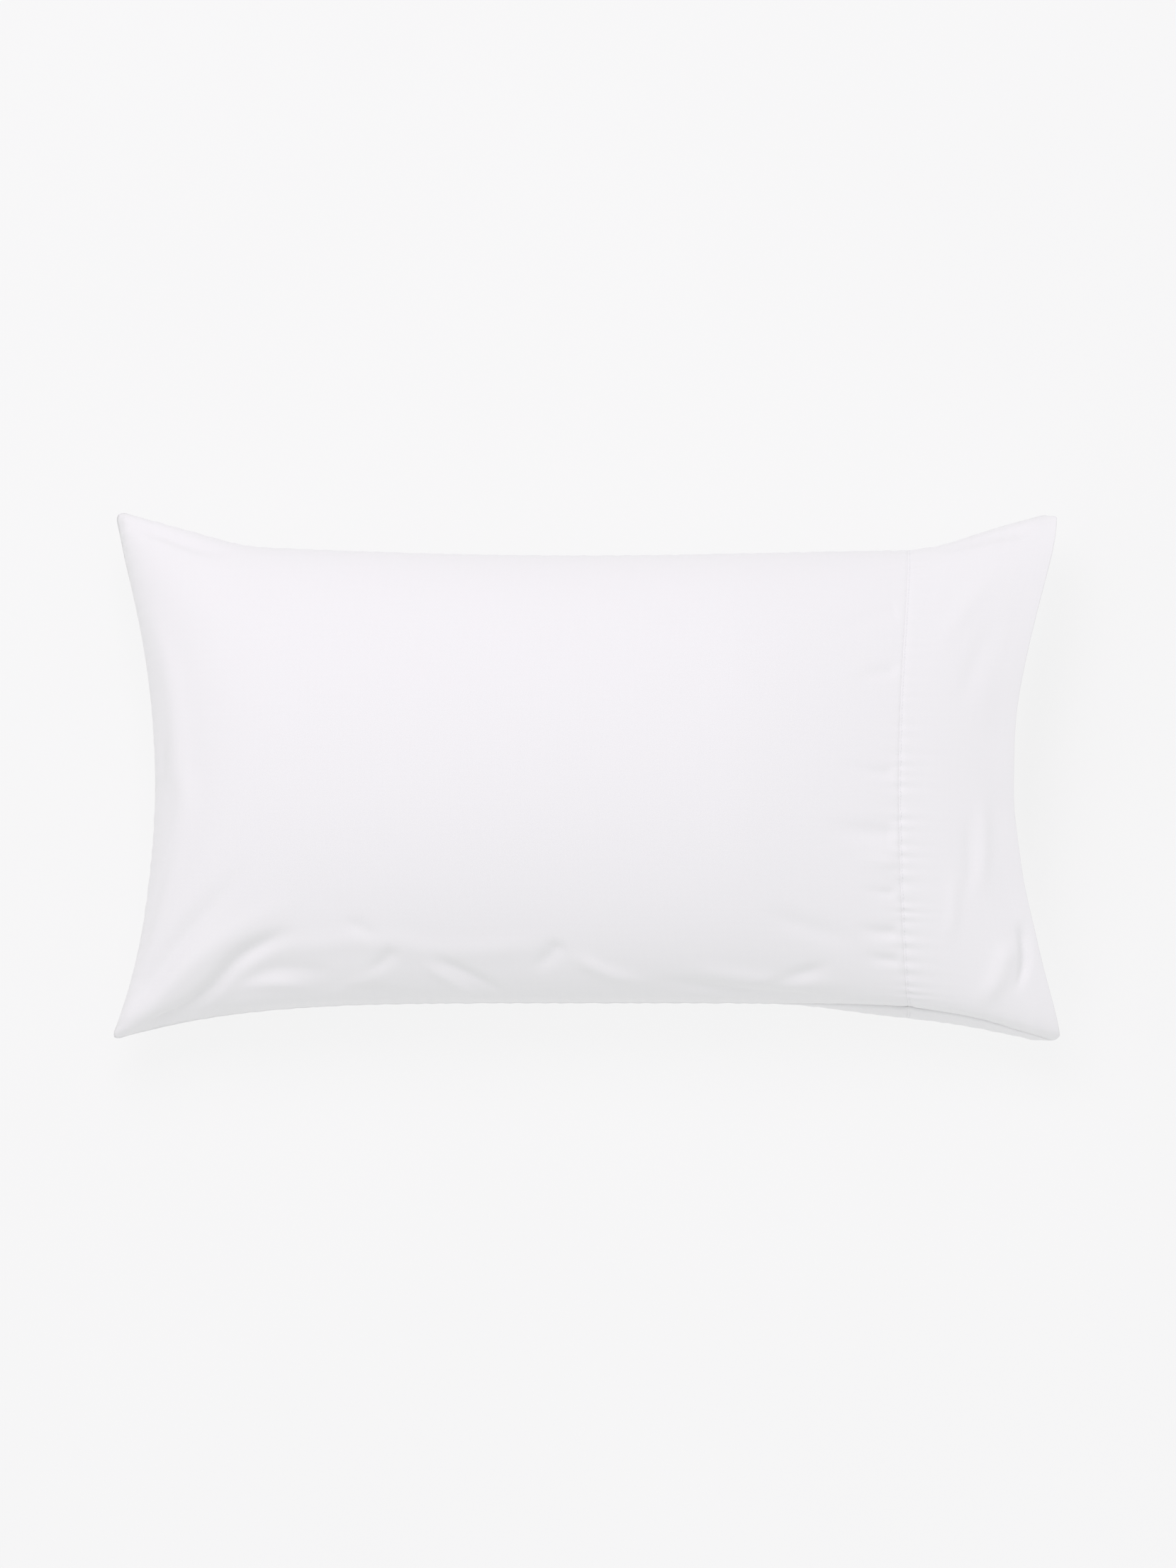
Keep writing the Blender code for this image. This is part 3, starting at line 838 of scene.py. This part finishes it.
front_rows = spaced(-HALF_FLAT_Y, HALF_FLAT_Y, 2.7 * MM)
front_columns = panel_columns(step=3.3 * MM, step_near_hem=1.7 * MM)
front_panel = cloth_piece("case_front_panel_cloth", front_columns, front_rows,
                          lambda x, y: case_points(x, y, 1, front_relief), 1, PLY, percale)
back_rows = spaced(-HALF_FLAT_Y, HALF_FLAT_Y, 3.2 * MM)
back_columns = panel_columns(step=4.5 * MM, step_near_hem=2 * MM)
back_panel = cloth_piece("case_back_panel_cloth", back_columns, back_rows,
                         lambda x, y: case_points(x, y, -1, back_relief), -1, PLY, percale)

# %% [markdown]
# ## The case: hem bands
#
# Each hem is the end of the panel's cloth folded back on itself, so it is two layers thick, stands a
# little proud along its stitched edge and ends in a soft rounded fold at the mouth. With no filling
# under it, it stays smooth but for a few slack folds that run along the mouth.

# %% Hem bands
FOLD_RADIUS = 1.2 * MM
SLACK_WAVE, SLACK_HEIGHT, SLACK_REACH = 95 * MM, 0.8 * MM, 45 * MM


def folded_edge(to_edge):
    """How far the outer ply turns down within a fold's radius of its edge."""
    inside = np.clip(1 - to_edge / FOLD_RADIUS, 0, 1)
    return 0.5 * HEM_PLY * (1 - np.sqrt(1 - inside * inside))


def band_relief(strokes, phase):
    """The relief of a hem band: its rounded edges, its puckered stitch line, its folds and a slack mouth."""
    def relief(x, y, place):
        turned = folded_edge(x - HEM_X) + folded_edge(HALF_FLAT_X - x)
        slack = smooth_step((x - HALF_FLAT_X + SLACK_REACH) / SLACK_REACH)
        wave = SLACK_HEIGHT * uneven_wave(y, SLACK_WAVE, phase) * slack
        drawn_in = folds(place, strokes) * seams_hold(x, y)
        return HEM_PROUD + hem_puckers(x, y, phase) + drawn_in + wave - turned
    return relief


edge_spacing = np.array([0, 0.3, 0.7, 1.2, 2.0, 3.0]) * MM
FINE_EDGE = 4.2 * MM
between_edges = spaced(HEM_X + FINE_EDGE, HALF_FLAT_X - FINE_EDGE, 2.2 * MM)
hem_columns = np.concatenate([HEM_X + edge_spacing, between_edges, HALF_FLAT_X - edge_spacing[::-1]])
hem_rows = spaced(-HALF_FLAT_Y, HALF_FLAT_Y, 2.0 * MM)
hem_front = cloth_piece("hem_band_front_cloth", hem_columns, hem_rows,
                        lambda x, y: case_points(x, y, 1, band_relief(HEM_FOLDS, 0.0)), 1, HEM_PLY,
                        hem_percale)
hem_back = cloth_piece("hem_band_back_cloth", hem_columns, hem_rows,
                       lambda x, y: case_points(x, y, -1, band_relief((), BACK_PHASE)), -1, HEM_PLY,
                       hem_percale)

# %% [markdown]
# ## The case: stitches
#
# A lockstitch shows as a row of short dashes of thread, each one coming up out of the cloth and going down
# again a little further on. Each dash is a small tube of a few dozen faces, bent in an arc. The row lies in
# the groove that its own pull makes.

# %% Rows of lockstitch
THREAD_RADIUS = 0.22 * MM
STITCH_PITCH, STITCH_LENGTH = 3.2 * MM, 2.6 * MM
ARCHED, SUNK = 2.4 * THREAD_RADIUS, 1.3 * THREAD_RADIUS
AROUND, RINGS = 6, 6


def add_tube(bm, cloth_map, centres, normals, radius, around=AROUND, closed=False):
    """A tube with its rings at centres. Its UV map runs along it in metres, and once round it."""
    count = len(centres)
    ahead = np.roll(centres, -1, 0) - np.roll(centres, 1, 0) if closed else np.gradient(centres, axis=0)
    ahead /= np.linalg.norm(ahead, axis=1, keepdims=True)
    beside = np.cross(ahead, normals)
    beside /= np.linalg.norm(beside, axis=1, keepdims=True)
    above = np.cross(beside, ahead)
    reached = np.concatenate([[0], np.cumsum(np.linalg.norm(np.diff(centres, axis=0), axis=1))])
    segments = count if closed else count - 1
    grid = new_grid(bm, segments, around)
    flat = {}
    for vertex, ring, turn in grid:
        angle = 2 * math.pi * turn / around
        offset = math.cos(angle) * beside[ring % count] + math.sin(angle) * above[ring % count]
        flat[vertex] = (reached[ring] if ring < count else reached[-1], turn / around)
        vertex.co = centres[ring % count] + radius * offset
    lay_map(faces_of(grid), cloth_map, flat)
    bmesh.ops.remove_doubles(bm, verts=[vertex for vertex, _, _ in grid], dist=0.02 * radius)


def stitch_row(name, path_at, start, end, finish):
    """Stitches from start to end of a path. path_at gives places and normals at distances along it."""
    bm = bmesh.new()
    cloth_map = bm.loops.layers.uv.new("cloth")
    count = int((end - start) / STITCH_PITCH)
    share = np.linspace(0, 1, RINGS)
    arch = ARCHED * np.sin(math.pi * share) - SUNK
    for number in range(count):
        first = start + number * STITCH_PITCH
        place, normal = path_at(first + share * STITCH_LENGTH)
        add_tube(bm, cloth_map, place + normal * arch[:, None], normal, THREAD_RADIUS)
    bmesh.ops.holes_fill(bm, edges=[edge for edge in bm.edges if edge.is_boundary], sides=AROUND)
    bmesh.ops.recalc_face_normals(bm, faces=bm.faces[:])
    row = new_object(name, bm)
    row.data.materials.append(finish)
    print(name, count, "stitches,", len(row.data.polygons), "faces")
    return row


def hem_path(side, strokes, phase):
    """The stitched line of a hem band."""
    relief = band_relief(strokes, phase)

    def path_at(y):
        x = np.full(y.shape, HEM_X + HEM_STITCH_INSET)
        _, normal = case[side].at(x, y)
        return case_points(x, y, side, relief), normal
    return path_at


STITCH_END = HALF_FLAT_Y - 3 * MM
front_stitches = stitch_row("hem_stitching_front_thread", hem_path(1, HEM_FOLDS, 0.0),
                            -STITCH_END, STITCH_END, sewing_thread)
back_stitches = stitch_row("hem_stitching_back_thread", hem_path(-1, (), BACK_PHASE),
                           -STITCH_END, STITCH_END, sewing_thread)

# %% [markdown]
# ## The case: seam allowances and label
#
# Inside, each seam leaves a narrow double edge of cloth, overlocked so that it does not fray. It starts just
# inside the seam and points inwards. A blank ribbon label, folded into a loop, is caught near the lower side
# seam inside the hem, where a hand at the mouth of the case finds it.

# %% Seam allowances
ALLOWANCE, SEAM_PLY, INSIDE_SEAM = 8 * MM, 1.1 * MM, 1.6 * MM
SWAY, SWAY_LENGTH = 0.5 * MM, 23 * MM
SHORT_OF_CORNERS, TOWARDS_MOUTH = 50 * MM, 22 * MM


def seam_strip(name, rim_at, length, inward, finish):
    """A strip of doubled cloth along a seam. rim_at gives flat places on the seam at shares of its length."""
    along = spaced(-length / 2, length / 2, 4 * MM)
    across = np.linspace(0, ALLOWANCE, 6)

    def points_at(x, y):
        flat_x, flat_y = rim_at(x)
        rim = rounded_corners(case[1].at(flat_x, flat_y)[0], flat_x, flat_y)
        rim = rolled_edge(rim, flat_x, flat_y, 1)
        sway = SWAY * np.sin(2 * math.pi * x / SWAY_LENGTH) * (y / ALLOWANCE)
        return rim + np.array(inward) * (INSIDE_SEAM + y)[..., None] + np.array([0, 0, 1.0]) * sway[..., None]
    return cloth_piece(name, along, across, points_at, 1, 0, finish)


def thickened(piece, thickness):
    """A Solidify modifier that gives a strip its thickness, half on each side."""
    ply = piece.modifiers.new("ply", "SOLIDIFY")
    ply.thickness, ply.offset = thickness, 0
    return piece


def side_seam(name, side):
    """The allowance of a side seam, which starts clear of the closed end's."""
    strip = seam_strip(name, lambda s: (s + TOWARDS_MOUTH, np.full(s.shape, side * HALF_FLAT_Y)),
                       FLAT_LENGTH - SHORT_OF_CORNERS, (0, -side, 0), percale)
    return thickened(strip, SEAM_PLY)


upper_seam = side_seam("upper_side_seam_edge", 1)
lower_seam = side_seam("lower_side_seam_edge", -1)
end_seam = thickened(seam_strip("closed_end_seam_edge", lambda s: (np.full(s.shape, -HALF_FLAT_X), s),
                                FLAT_WIDTH - SHORT_OF_CORNERS, (1, 0, 0), percale), SEAM_PLY)

# %% The label in the case
LABEL_WIDTH, LABEL_LENGTH, RIBBON = 30 * MM, 40 * MM, 0.22 * MM
LOOP_RADIUS = 0.35 * MM
CASE_LABEL_X, FROM_LOWER_SEAM = 372 * MM, 16 * MM
LABEL_CURL, LABEL_GAP = 5 * MM, 2 * MM


def ribbon_loop(name, place_at, finish):
    """A ribbon folded in half. place_at gives points for places across it, along it and off its middle."""
    half_turn = math.pi * LOOP_RADIUS
    across = spaced(-LABEL_WIDTH / 2, LABEL_WIDTH / 2, 2.5 * MM)
    along = np.concatenate([spaced(-LABEL_LENGTH - half_turn / 2, -half_turn / 2, 3 * MM),
                            np.linspace(-half_turn / 2, half_turn / 2, 7)[1:-1],
                            spaced(half_turn / 2, LABEL_LENGTH + half_turn / 2, 3 * MM)])

    def points_at(x, y):
        turned = np.clip(y / LOOP_RADIUS, -math.pi / 2, math.pi / 2)
        reach = LABEL_LENGTH - np.clip(np.abs(y) - half_turn / 2, 0, None) + LOOP_RADIUS * np.cos(turned)
        return place_at(x, reach, LOOP_RADIUS * np.sin(turned))
    return thickened(cloth_piece(name, across, along, points_at, 1, 0, finish), RIBBON)


def in_case_hem(across, along, off):
    """Places for the case's label, on the inside of the back hem near the lower side seam."""
    place, normal = case[-1].at(CASE_LABEL_X + across, FROM_LOWER_SEAM - HALF_FLAT_Y + along)
    curl = LABEL_CURL * (along / LABEL_LENGTH) ** 2
    return place - normal * (HEM_PLY + LABEL_GAP + off + curl)[..., None]


case_label = ribbon_loop("case_care_label_ribbon", in_case_hem, label_satin)

# %% [markdown]
# ## The insert
#
# The insert is a bag of its own: two panels of ticking with a piped seam all round, blown full of fibre
# and stitched shut near the mouth of the case. It is laid and relaxed in the same way as the case, closed all
# round, and lies at least a few millimetres inside it. Rays up and down from its points measure how far.

# %% The insert's bag
INSERT_CLOSED_END, INSERT_OPEN_END, INSERT_REACH = -0.95, 0.80, 0.92
INSERT_BELOW_CASE, INSERT_FLOOR = 8.5 * MM, 3.8 * MM
INSERT_DEPTH, INSERT_SOFTNESS, INSERT_SINK = 1.2, 10 * MM, 1 * MM


def insert_shape(w, t, side):
    """Places on the insert. w runs along it and t across it, each from -1 to 1."""
    middle, half = (INSERT_OPEN_END + INSERT_CLOSED_END) / 2, (INSERT_OPEN_END - INSERT_CLOSED_END) / 2
    u = middle + half * w
    x, y = plan_of(u, INSERT_REACH * t)
    full = np.sqrt(np.clip(1 - t * t, 0, 1)) * (1 - (1 - LIP_SHARE) * closing(u))
    full = full * np.sqrt(np.clip(1 - w**4, 0, 1))
    if side > 0:
        z = seam_height(u) + (LOFT - SEAM_HEIGHT - INSERT_BELOW_CASE) * full
    else:
        deep = seam_height(u) - INSERT_DEPTH * SEAM_HEIGHT * full
        z = np.maximum(rest_on_floor(deep, INSERT_SOFTNESS, INSERT_FLOOR) - INSERT_SINK, INSERT_FLOOR)
    return np.stack([x, y, z], -1)


INSERT_CELL, INSERT_FRAMES = 12 * MM, 4
INSERT_CUT_LENGTH, INSERT_CUT_WIDTH = 756 * MM, 476 * MM
insert_columns, insert_rows = round(INSERT_CUT_LENGTH / INSERT_CELL), round(INSERT_CUT_WIDTH / INSERT_CELL)
insert_designed = {side: laid_grid(insert_shape, side, insert_columns, insert_rows) for side in (1, -1)}
for side, points in insert_designed.items():
    along = np.linalg.norm(np.diff(points, axis=0), axis=-1).sum(0)
    across = np.linalg.norm(np.diff(points, axis=1), axis=-1).sum(1)
    print("insert side", side, "lengths", along[[0, insert_rows // 2]].round(3), "widths",
          across[[0, insert_columns // 2, -1]].round(3))
insert_bag = relaxed_bag("insert_bag", insert_designed, INSERT_CUT_LENGTH, INSERT_CUT_WIDTH,
                         INSERT_FRAMES, pressure=0.6, open_end=False, weight=0.02,
                         bed_height=INSERT_FLOOR)
insert = {side: Surface(insert_bag[side], INSERT_CUT_LENGTH, INSERT_CUT_WIDTH, side) for side in (1, -1)}

# %% Ticking panels
TICKING_PLY = 0.6 * MM
TICKING_PUCKER, TICKING_PUCKER_HEIGHT = 24 * MM, 0.9 * MM
PIPED_RISE, PIPED_FADE = 4 * MM, 22 * MM
LUMP_HEIGHT, LUMP_ALONG, LUMP_ACROSS, LUMP_LEAN = 0.5 * MM, 31 * MM, 27 * MM, 90 * MM
BELOW_INSERT_FLOOR = 1.2 * MM
HALF_CUT_X, HALF_CUT_Y = INSERT_CUT_LENGTH / 2, INSERT_CUT_WIDTH / 2


def ticking_relief(x, y):
    """Puckers along the piped seam, and the soft lumps of the fibre under the ticking."""
    total = np.zeros(x.shape)
    for to_seam, along, phase in ((HALF_CUT_Y - y, x, 0.9), (HALF_CUT_Y + y, x, 3.0),
                                  (HALF_CUT_X + x, y, 1.8), (HALF_CUT_X - x, y, 5.2)):
        fade = (1 - np.exp(-to_seam / PIPED_RISE)) * np.exp(-to_seam / PIPED_FADE)
        total += TICKING_PUCKER_HEIGHT * uneven_wave(along, TICKING_PUCKER, phase) * fade
    lumps = np.sin(x / LUMP_ALONG + 1.0) * np.sin(y / LUMP_ACROSS + 0.4 + x / LUMP_LEAN)
    return total + LUMP_HEIGHT * lumps


def insert_points(x, y, side, depth=0.0):
    """Points of the insert at flat places x, y, some depth under its ticking."""
    place, normal = insert[side].at(x, y)
    place = place + normal * (ticking_relief(x, y) - depth)[..., None]
    place[..., 2] = np.maximum(place[..., 2], INSERT_FLOOR - BELOW_INSERT_FLOOR)
    return place


ticking_columns = spaced(-HALF_CUT_X, HALF_CUT_X, 4 * MM)
ticking_rows = spaced(-HALF_CUT_Y, HALF_CUT_Y, 3.4 * MM)
ticking_top = cloth_piece("ticking_top_cloth", ticking_columns, ticking_rows,
                          lambda x, y: insert_points(x, y, 1), 1, TICKING_PLY, ticking_cotton)
ticking_bottom = cloth_piece("ticking_bottom_cloth", ticking_columns, ticking_rows,
                             lambda x, y: insert_points(x, y, -1), -1, TICKING_PLY, ticking_cotton)

# %% [markdown]
# ## The insert: piping
#
# Piping is a cord in a strip of cotton, caught in the seam all round. It is one closed tube that follows the
# seam just outside it.

# %% Piping
PIPING_RADIUS = 2 * MM


def insert_rim(step):
    """Places round the insert's seam, one closed line, with the directions out of the bag."""
    x, y = HALF_CUT_X, HALF_CUT_Y
    corners = [(-x, -y), (x, -y), (x, y), (-x, y)]
    flat = []
    for (x0, y0), (x1, y1) in zip(corners, corners[1:] + corners[:1]):
        count = math.ceil(math.hypot(x1 - x0, y1 - y0) / step)
        flat += [(x0 + (x1 - x0) * i / count, y0 + (y1 - y0) * i / count) for i in range(count)]
    flat = np.array(flat)
    line = insert[1].at(flat[:, 0], flat[:, 1])[0]
    for _ in range(6):
        line = (np.roll(line, 1, 0) + 2 * line + np.roll(line, -1, 0)) / 4
    ahead = np.roll(line, -1, 0) - np.roll(line, 1, 0)
    out = np.cross(ahead, (0, 0, 1.0))
    return line, out / np.linalg.norm(out, axis=1, keepdims=True)


rim, out_of_rim = insert_rim(6 * MM)
bm = bmesh.new()
add_tube(bm, bm.loops.layers.uv.new("cloth"), rim + out_of_rim * PIPING_RADIUS * 0.9,
         np.tile((0, 0, 1.0), (len(rim), 1)), PIPING_RADIUS, around=2 * AROUND, closed=True)
bmesh.ops.recalc_face_normals(bm, faces=bm.faces[:])
piping = new_object("ticking_piping_cord", bm)
piping.data.materials.append(piping_cotton)
print("piping", round(np.linalg.norm(np.diff(rim, axis=0), axis=1).sum(), 3), "m round")

# %% [markdown]
# ## The insert: filling
#
# The filling is a wad of loose fibre that takes the whole inside of the ticking. Its two sides are grids a
# little smaller than the ticking, bridged round their rims into one closed pad.

# %% Fibre filling
FILL_INSET, FILL_DEPTH, FILL_STEP = 9 * MM, 2.9 * MM, 8 * MM
TUFT_HEIGHT, TUFT_ALONG, TUFT_ACROSS = 0.5 * MM, 11 * MM, 13 * MM


def fill_layer(bm, side):
    """One side of the wad, and the edges of its rim."""
    reach_x, reach_y = HALF_CUT_X - FILL_INSET, HALF_CUT_Y - FILL_INSET
    columns, rows = spaced(-reach_x, reach_x, FILL_STEP), spaced(-reach_y, reach_y, FILL_STEP)
    x, y = np.meshgrid(columns, rows, indexing="ij")
    tufts = TUFT_HEIGHT * np.sin(x / TUFT_ALONG) * np.sin(y / TUFT_ACROSS + 0.8)
    points = insert_points(x, y, side, FILL_DEPTH + tufts)
    grid = new_grid(bm, len(columns) - 1, len(rows) - 1)
    for vertex, column, row in grid:
        vertex.co = points[column, row]
    if side < 0:
        bmesh.ops.reverse_faces(bm, faces=faces_of(grid))
    return list({edge for vertex, _, _ in grid for edge in vertex.link_edges if edge.is_boundary})


bm = bmesh.new()
rim_edges = fill_layer(bm, 1) + fill_layer(bm, -1)
bmesh.ops.bridge_loops(bm, edges=rim_edges)
bmesh.ops.recalc_face_normals(bm, faces=bm.faces[:])
filling = new_object("fibre_fill_wad", bm)
filling.data.materials.append(polyester_fibre)
smoother = filling.modifiers.new("smooth", "SUBSURF")
smoother.levels = smoother.render_levels = 1

# %% Closing stitches and the insert's label
GAP_HALF, FROM_END = 110 * MM, 16 * MM
INSERT_LABEL_Y, CAUGHT_IN_SEAM, LABEL_DROOP = 122 * MM, 12 * MM, 2 * MM


def closing_path(y):
    """The stitched line that shuts the filling gap."""
    x = np.full(y.shape, HALF_CUT_X - FROM_END)
    return insert_points(x, y, 1), insert[1].at(x, y)[1]


closing_stitches = stitch_row("filling_gap_stitch_thread", closing_path, -GAP_HALF, GAP_HALF, sewing_thread)


def beyond_piping(across, along, off):
    """Places for the insert's label, which lies level beyond the piping at the mouth end."""
    place, _ = insert[1].at(np.full(across.shape, HALF_CUT_X), INSERT_LABEL_Y + across)
    beyond = PIPING_RADIUS * 2 - CAUGHT_IN_SEAM + along
    return place + np.stack([beyond, 0 * along, off - LABEL_DROOP * (along / LABEL_LENGTH) ** 2], -1)


insert_label = ribbon_loop("insert_care_label_ribbon", beyond_piping, label_satin)

# %% How far the insert lies inside the case
RAY_REACH, EVERY = 200 * MM, 7


def clearance(inner, outer_pieces, direction):
    """The least distance from an inner piece's points to the case, measured along a direction."""
    graph = bpy.context.evaluated_depsgraph_get()
    trees = [BVHTree.FromObject(piece, graph) for piece in outer_pieces]
    found, open_points = [], 0
    for vertex in list(inner.data.vertices)[::EVERY]:
        cast = [tree.ray_cast(vertex.co, Vector(direction), RAY_REACH) for tree in trees]
        hits = [hit for hit in cast if hit[0]]
        found += [(hit[3], *vertex.co) for hit in hits]
        open_points += not hits
    least = min(found)
    print(inner.name, "least", [round(v / MM, 1) for v in least], "points in the open", open_points)
    return least[0], sum(each[0] for each in found) / len(found)


up_least, up_mean = clearance(ticking_top, (front_panel, hem_front), (0, 0, 1))
down_least, down_mean = clearance(ticking_bottom, (back_panel, hem_back), (0, 0, -1))
print("insert to case, mm: up", round(up_least / MM, 2), round(up_mean / MM, 2),
      "down", round(down_least / MM, 2), round(down_mean / MM, 2))

# %% [markdown]
# ## Bodies and stand-ins
#
# The case's pieces ride on the pillowcase and the insert's on the insert. Each piece stands in for its part
# of the imported model, which is hidden, and the case's pieces are given meshes of their own.

# %% Riding and replacing
CASE_PIECES = (
    (front_panel, "case_front_panel", "case_cotton"),
    (back_panel, "case_back_panel", "case_cotton"),
    (hem_front, "hem_band_front", "hem_cotton"),
    (hem_back, "hem_band_back", "hem_cotton"),
    (front_stitches, "hem_stitching_front", "thread"),
    (back_stitches, "hem_stitching_back", "thread"),
    (upper_seam, "upper_side_seam", "case_cotton"),
    (lower_seam, "lower_side_seam", "case_cotton"),
    (end_seam, "closed_end_seam", "case_cotton"),
    (case_label, "case_care_label", "label_satin"),
)
INSERT_PIECES = (
    (ticking_top, "ticking_top", "ticking"),
    (ticking_bottom, "ticking_bottom", "ticking"),
    (piping, "ticking_piping", "ticking"),
    (filling, "fibre_fill", "fibre"),
    (closing_stitches, "filling_gap_stitch", "thread"),
    (insert_label, "insert_care_label", "label_satin"),
)
for body, pieces in (("pillowcase", CASE_PIECES), ("insert", INSERT_PIECES)):
    for piece, node, slot in pieces:
        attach(piece, body)
        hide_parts(node)
        if body == "pillowcase":
            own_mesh(piece)

# %% [markdown]
# ## Floor, light and camera
#
# The pillow lies on a plain pale table that is lit from within, so that shadows on it stay faint. A large
# soft lamp stands high on the far side, a little to the left, and a pale surround that dims towards the
# horizon fills the rest, so that the near side turns only a shade darker and the folds stay soft. The camera
# looks down steeply from far away through a long lens, which keeps parallel edges parallel.

# %% Floor
FLOOR_GLOW = 0.765


def pale_floor():
    """A lit table: matt, with the faintest mottle. Most of its light is its own, which keeps shadows weak."""
    made, tree, shader = new_material("painted_board", Roughness=0.9, Specular_IOR_Level=0.2)
    place = add_node(tree, "ShaderNodeTexCoord").outputs["Object"]
    mottle = add_node(tree, "ShaderNodeTexNoise", {"Vector": place, "Scale": 3.0, "Detail": 3.0})
    tree.links.new(tone(tree, mottle.outputs["Fac"], "#6F6F6F", "#717171"), shader.inputs["Base Color"])
    shader.inputs["Emission Color"].default_value = linear("#FFFFFF")
    shader.inputs["Emission Strength"].default_value = FLOOR_GLOW
    bm = bmesh.new()
    bmesh.ops.create_grid(bm, x_segments=1, y_segments=1, size=20)
    floor = new_object("floor", bm)
    floor.data.materials.append(made)


pale_floor()

# %% Light
HORIZON, OVERHEAD = 0.54, 0.96
world = bpy.data.worlds.new("surround")
scene.world = world
world.use_nodes = True
sky = world.node_tree
outward = add_node(sky, "ShaderNodeTexCoord").outputs["Generated"]
upward = add_node(sky, "ShaderNodeSeparateXYZ", {0: outward})
strength = add_node(sky, "ShaderNodeMapRange", {"Value": upward.outputs[2], "To Min": HORIZON,
                                                "To Max": OVERHEAD})
sky.links.new(strength.outputs[0], sky.nodes["Background"].inputs["Strength"])
sky.nodes["Background"].inputs["Color"].default_value = linear("#FDFDFF")


def soft_lamp(name, place, target, size, power, colour):
    """A large square lamp that the camera does not see."""
    data = bpy.data.lights.new(name, "AREA")
    data.size, data.energy = size, power
    data.color = linear(colour)[:3]
    lamp = bpy.data.objects.new(name, data)
    lamp.location = place
    lamp.rotation_euler = (Vector(target) - Vector(place)).to_track_quat("-Z", "Y").to_euler()
    lamp.visible_camera = False
    scene.collection.objects.link(lamp)


soft_lamp("key_lamp", place=(-0.50, 1.2, 2.5), target=(0, 0, 0.1), size=1.6, power=17.3, colour="#FFF1FF")

# %% Camera
scene.view_settings.view_transform = "Standard"
VIEW_WIDTH = 1.05
FRAME_CENTRE = Vector((3.2 * MM, -11.8 * MM, 80 * MM))
data = bpy.data.cameras.new("camera")
data.sensor_fit, data.sensor_width, data.lens = "HORIZONTAL", 36, 300
data.clip_end = 100
camera = bpy.data.objects.new("camera", data)
scene.collection.objects.link(camera)
scene.camera = camera
back = Vector((0, -math.cos(CAMERA_ELEVATION), math.sin(CAMERA_ELEVATION)))
camera.location = FRAME_CENTRE + back * (VIEW_WIDTH * data.lens / data.sensor_width)
camera.rotation_euler = (-back).to_track_quat("-Z", "Y").to_euler()
